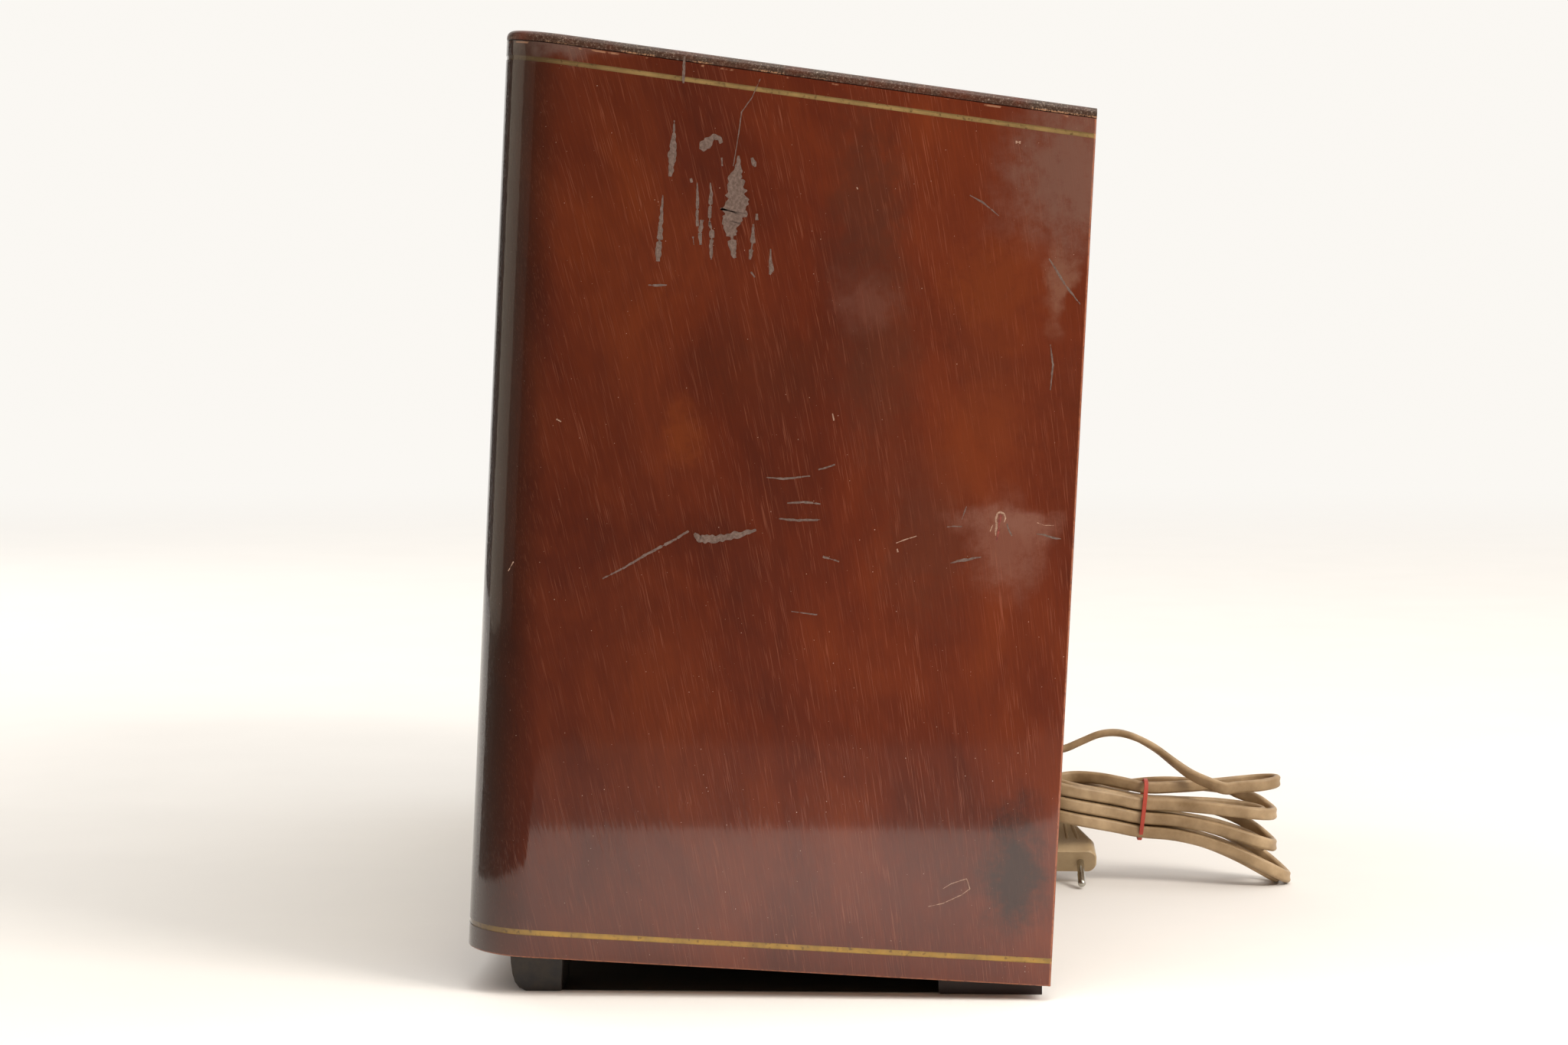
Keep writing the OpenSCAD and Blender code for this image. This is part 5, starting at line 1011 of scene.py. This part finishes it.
class RADIO_OT_front(bpy.types.Operator):
    """Dresses the cloth, trim, fascia, dial, knobs and keys"""

    bl_idname = "radio.front"
    bl_label = "Front"

    def execute(self, context):
        colours = context.scene.radio_colours
        # Gilt brass, pressed and lacquered: warm gold with cloudy tarnish
        gilt = finish("gilt_brass_trim", colours.trim, "#c7a765", 0.3, metal=1, patch=6, bump=0.01, pit=0.4)
        dress(gilt, "cloth_trim", edge=0.3)
        # Moulded urea: cream, yellowed in slow clouds, under a soft gloss from its mould
        cream = finish("cream_moulded_urea", colours.fascia, "#d6c7a1", 0.28, patch=90, share=1, bump=0.008,
                       pit=1.5, Coat_Weight=0.4, Coat_Roughness=0.1)
        dress(cream, "fascia", edge=0.4)
        dress(cream, "volume_knob", "tuning_knob", edge=0.15)
        # Moulded gold-brown plastic: a deeper, glossy rim behind each knob
        ring = finish("gold_brown_moulded_ring", colours.rings, "#8d6a38", 0.3, patch=15, Coat_Weight=0.5)
        dress(ring, "tone_ring", "aerial_ring", edge=0.2)
        # Moulded ivory plastic, polished by fingers: the lightest and glossiest of the front
        ivory = finish("ivory_moulded_keys", colours.keys, "#e6dbbd", 0.22, patch=25, Coat_Weight=0.5)
        dress(ivory, *("key_%d" % (i + 1) for i in range(5)), edge=0.6)
        # Sheet glass: clear, with a breath of green
        glass = start("dial_glass_clear", Base_Color="#eef2ea", Roughness=0.02, Transmission_Weight=1.0,
                      IOR=1.52)[0]
        dress(glass, "dial_glass", edge=0.4)
        # Screen-printed ink: flat dark umber strokes
        umber = finish("umber_screen_print", "#24150c", "#2f1d12", 0.45, patch=12)
        self.print_dial(umber)
        # Phosphor behind blown glass: a faint painted green glow, though the set is unplugged, under a sharp
        # highlight
        green = start("tuning_eye_painted_glow", Base_Color="#4f9a5c", Roughness=0.08, Emission_Color="#3fae62",
                      Emission_Strength=0.12)[0]
        dress(green, "tuning_eye")
        # Stove enamel on steel: even cream, half matt
        enamel = finish("cream_enamel_scale", "#d9cda9", "#e3d8b8", 0.5, patch=30)
        dress(enamel, "dial_frame", "drive_drum", "idler_pulley")
        # Red enamel, dipped: one thin bright line
        red = finish("red_enamel_pointer", "#a8201a", "#b82a20", 0.35, patch=10)
        dress(red, "dial_pointer")
        # Linen thread, twisted and waxed: dull brown with a knotty twist
        thread = finish("waxed_linen_thread", "#7c6443", "#927a56", 0.8, patch=2, bump=0.1, pit=0.8)
        dress(thread, "dial_cord")
        self.stretch_cloth()
        return {"FINISHED"}

    def stretch_cloth(self):
        """The speaker cloth: a thin sheet stretched over its board."""
        low, high = CLOTH_V
        columns, rows = 60, 24
        points, faces = [], []
        for j in range(rows + 1):
            for i in range(columns + 1):
                x = -CLOTH_HALF + 2 * CLOTH_HALF * i / columns
                points.append(stood(x, CLOTH_U, low + (high - low) * j / rows))
                if i and j:
                    a = len(points) - 1
                    faces.append((a - 1, a, a - columns - 1, a - columns - 2))
        sheet = make("speaker_cloth_weave", points, faces, speaker_cloth())
        thick = sheet.modifiers.new("thread thickness", "SOLIDIFY")
        thick.thickness = 0.8 * MM
        thick.offset = -1
        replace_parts(sheet, "speaker_cloth")

    def print_dial(self, ink):
        """The dial's printing on the back of its glass: four scale lines with ticks and plain numbers."""
        points, faces = [], []

        def bar(x, v, wide, high):
            """A printed bar round a middle."""
            low = len(points)
            points.extend(stood(x + a * wide / 2, PRINT_U, v + b * high / 2)
                          for a, b in ((-1, -1), (1, -1), (1, 1), (-1, 1)))
            faces.append((low, low + 1, low + 2, low + 3))

        for height, numbers in SCALES:
            line_v = DIAL_V + height
            bar(SCALE_X + SCALE_L / 2, line_v, SCALE_L, 0.5)
            for i in range(TICKS + 1):
                tall = 2.4 if i % 5 == 0 else 1.4
                bar(SCALE_X + SCALE_L * i / TICKS, line_v + tall / 2, 0.35, tall)
            for i, number in enumerate(numbers):
                x = SCALE_X + NUMBER_IN + (SCALE_L - 2 * NUMBER_IN) * i / (len(numbers) - 1)
                curve = bpy.data.curves.new("number", "FONT")
                curve.body = str(number)
                curve.size = NUMBER_SIZE
                curve.resolution_u = 2
                curve.align_x = "CENTER"
                sign = bpy.data.objects.new("number", curve)
                shape = bpy.data.meshes.new_from_object(sign)
                low = len(points)
                points.extend(stood(x + p.co.x, PRINT_U, line_v + NUMBER_LIFT + p.co.y)
                              for p in shape.vertices)
                faces.extend(tuple(low + k for k in face.vertices) for face in shape.polygons)
                bpy.data.objects.remove(sign)
                bpy.data.curves.remove(curve)
                bpy.data.meshes.remove(shape)
        make("dial_print", points, faces, ink, smooth=False)


class RADIO_OT_inside(bpy.types.Operator):
    """Dresses the chassis, its parts, the loudspeaker and the back"""

    bl_idname = "radio.inside"
    bl_label = "Inside and back"

    def execute(self, context):
        # Zinc-plated steel, pressed: dull silver, greyer where it has oxidised
        zinc = finish("zinc_plated_steel", "#a7a69f", "#8f8e86", 0.35, metal=1, patch=18, bump=0.01,
                      pit=1.5)
        dress(zinc, "chassis", "key_frame", "gang_frame", "ferrite_bracket", "back_screws", edge=0.15)
        # Steel, turned on a lathe: bright, in narrow bands round each shaft
        steel = finish("turned_steel", "#b5b4b0", "#a5a4a0", 0.25, metal=1, patch=8, grain=(1, 6, 1))
        dress(steel, "volume_shaft", "tone_tube", "aerial_tube")
        # Brass, turned: yellow metal, a little browned
        brass = finish("turned_brass", "#b3924f", "#a5843f", 0.28, metal=1, patch=8)
        dress(brass, "tuning_shaft", "front_bushes", edge=0.15)
        # Iron sheets, stacked and varnished: black-brown with fine ridges
        iron = finish("varnished_iron_core", "#23201e", "#35302c", 0.45, patch=6, grain=(1, 5, 1), bump=0.15,
                      pit=0.8)
        dress(iron, "mains_transformer", "output_transformer", edge=0.3)
        # Blown glass, mirrored inside by the getter: smoky silver under a clear gloss
        glass = start("valve_glass_gettered", Base_Color="#8f948f", Roughness=0.06, Metallic=0.35,
                      Coat_Weight=1)[0]
        dress(glass, "power_valves", "signal_valves")
        # Drawn aluminium: pale even silver
        aluminium = finish("drawn_aluminium", "#c3c4c5", "#b2b3b4", 0.32, metal=1, patch=14, bump=0.01)
        dress(aluminium, "if_cans", "fm_tuner", "gang_rotor", "filter_capacitor", edge=0.2)
        # Phenolic paper board, hot-pressed: brown with a waxy gloss
        phenolic = finish("phenolic_board", "#4a2d17", "#5b3a20", 0.4, patch=10)
        dress(phenolic, "volume_control", "socket_strip", edge=0.15)
        # Stoving lacquer on pressed steel: smooth grey, half gloss
        basket = finish("grey_lacquered_basket", "#5d6164", "#6c7073", 0.4, patch=20)
        dress(basket, "speaker_frame")
        # Paper pulp, felted: black, dusty and rough
        pulp = finish("black_paper_pulp", "#1e1c1b", "#2b2826", 0.9, patch=4, bump=0.1, pit=1.5)
        dress(pulp, "speaker_cone")
        # Frosted glass, blown: milky warm white
        frosted = finish("frosted_lamp_bulb", "#e9d8ab", "#f3e6c4", 0.3, patch=8)
        dress(frosted, "dial_lamps")
        # Ferrite, sintered, with waxed coils: dull dark grey
        ferrite = finish("ferrite_and_wax", "#1c1c1e", "#2b2a2b", 0.5, patch=6)
        dress(ferrite, "ferrite_rod")
        # Hardboard, hot-pressed: brown fibre in 3 mm flecks with a rough matt face
        board = finish("pressed_hardboard", context.scene.radio_colours.back, "#6d4b32", 0.8, patch=3,
                       share=0.6, bump=0.15, pit=1.4)
        dress(board, "back_panel", edge=0.2)
        return {"FINISHED"}


class RADIO_PT_panel(bpy.types.Panel):
    """Lists the steps that build the scene, and the sizes and colours that a user may change"""

    bl_idname = "RADIO_PT_panel"
    bl_label = "Table radio"
    bl_space_type = "VIEW_3D"
    bl_region_type = "UI"
    bl_category = "Table radio"

    def draw(self, context):
        for step in STEPS:
            self.layout.operator(step.bl_idname)
        for name, kind in GROUPS.items():
            for key in kind.__annotations__:
                self.layout.prop(getattr(context.scene, name), key)


GROUPS = {"radio_stage": StageSizes, "radio_cord": CordSizes, "radio_colours": RadioColours}
STEPS = (RADIO_OT_stage, RADIO_OT_cord, RADIO_OT_cabinet, RADIO_OT_front, RADIO_OT_inside)
CLASSES = tuple(GROUPS.values()) + STEPS + (RADIO_PT_panel,)


def register():
    """Registers the classes, and gives each scene its sizes and colours."""
    for kind in CLASSES:
        bpy.utils.register_class(kind)
    for name, kind in GROUPS.items():
        setattr(bpy.types.Scene, name, bpy.props.PointerProperty(type=kind))


def unregister():
    """Takes back what register gave."""
    for name in GROUPS:
        delattr(bpy.types.Scene, name)
    for kind in reversed(CLASSES):
        bpy.utils.unregister_class(kind)


def main():
    """Builds the whole scene."""
    register()
    bpy.ops.radio.stage()
    bpy.ops.radio.cord()
    bpy.ops.radio.cabinet()
    bpy.ops.radio.front()
    bpy.ops.radio.inside()


if __name__ == "__main__":
    main()
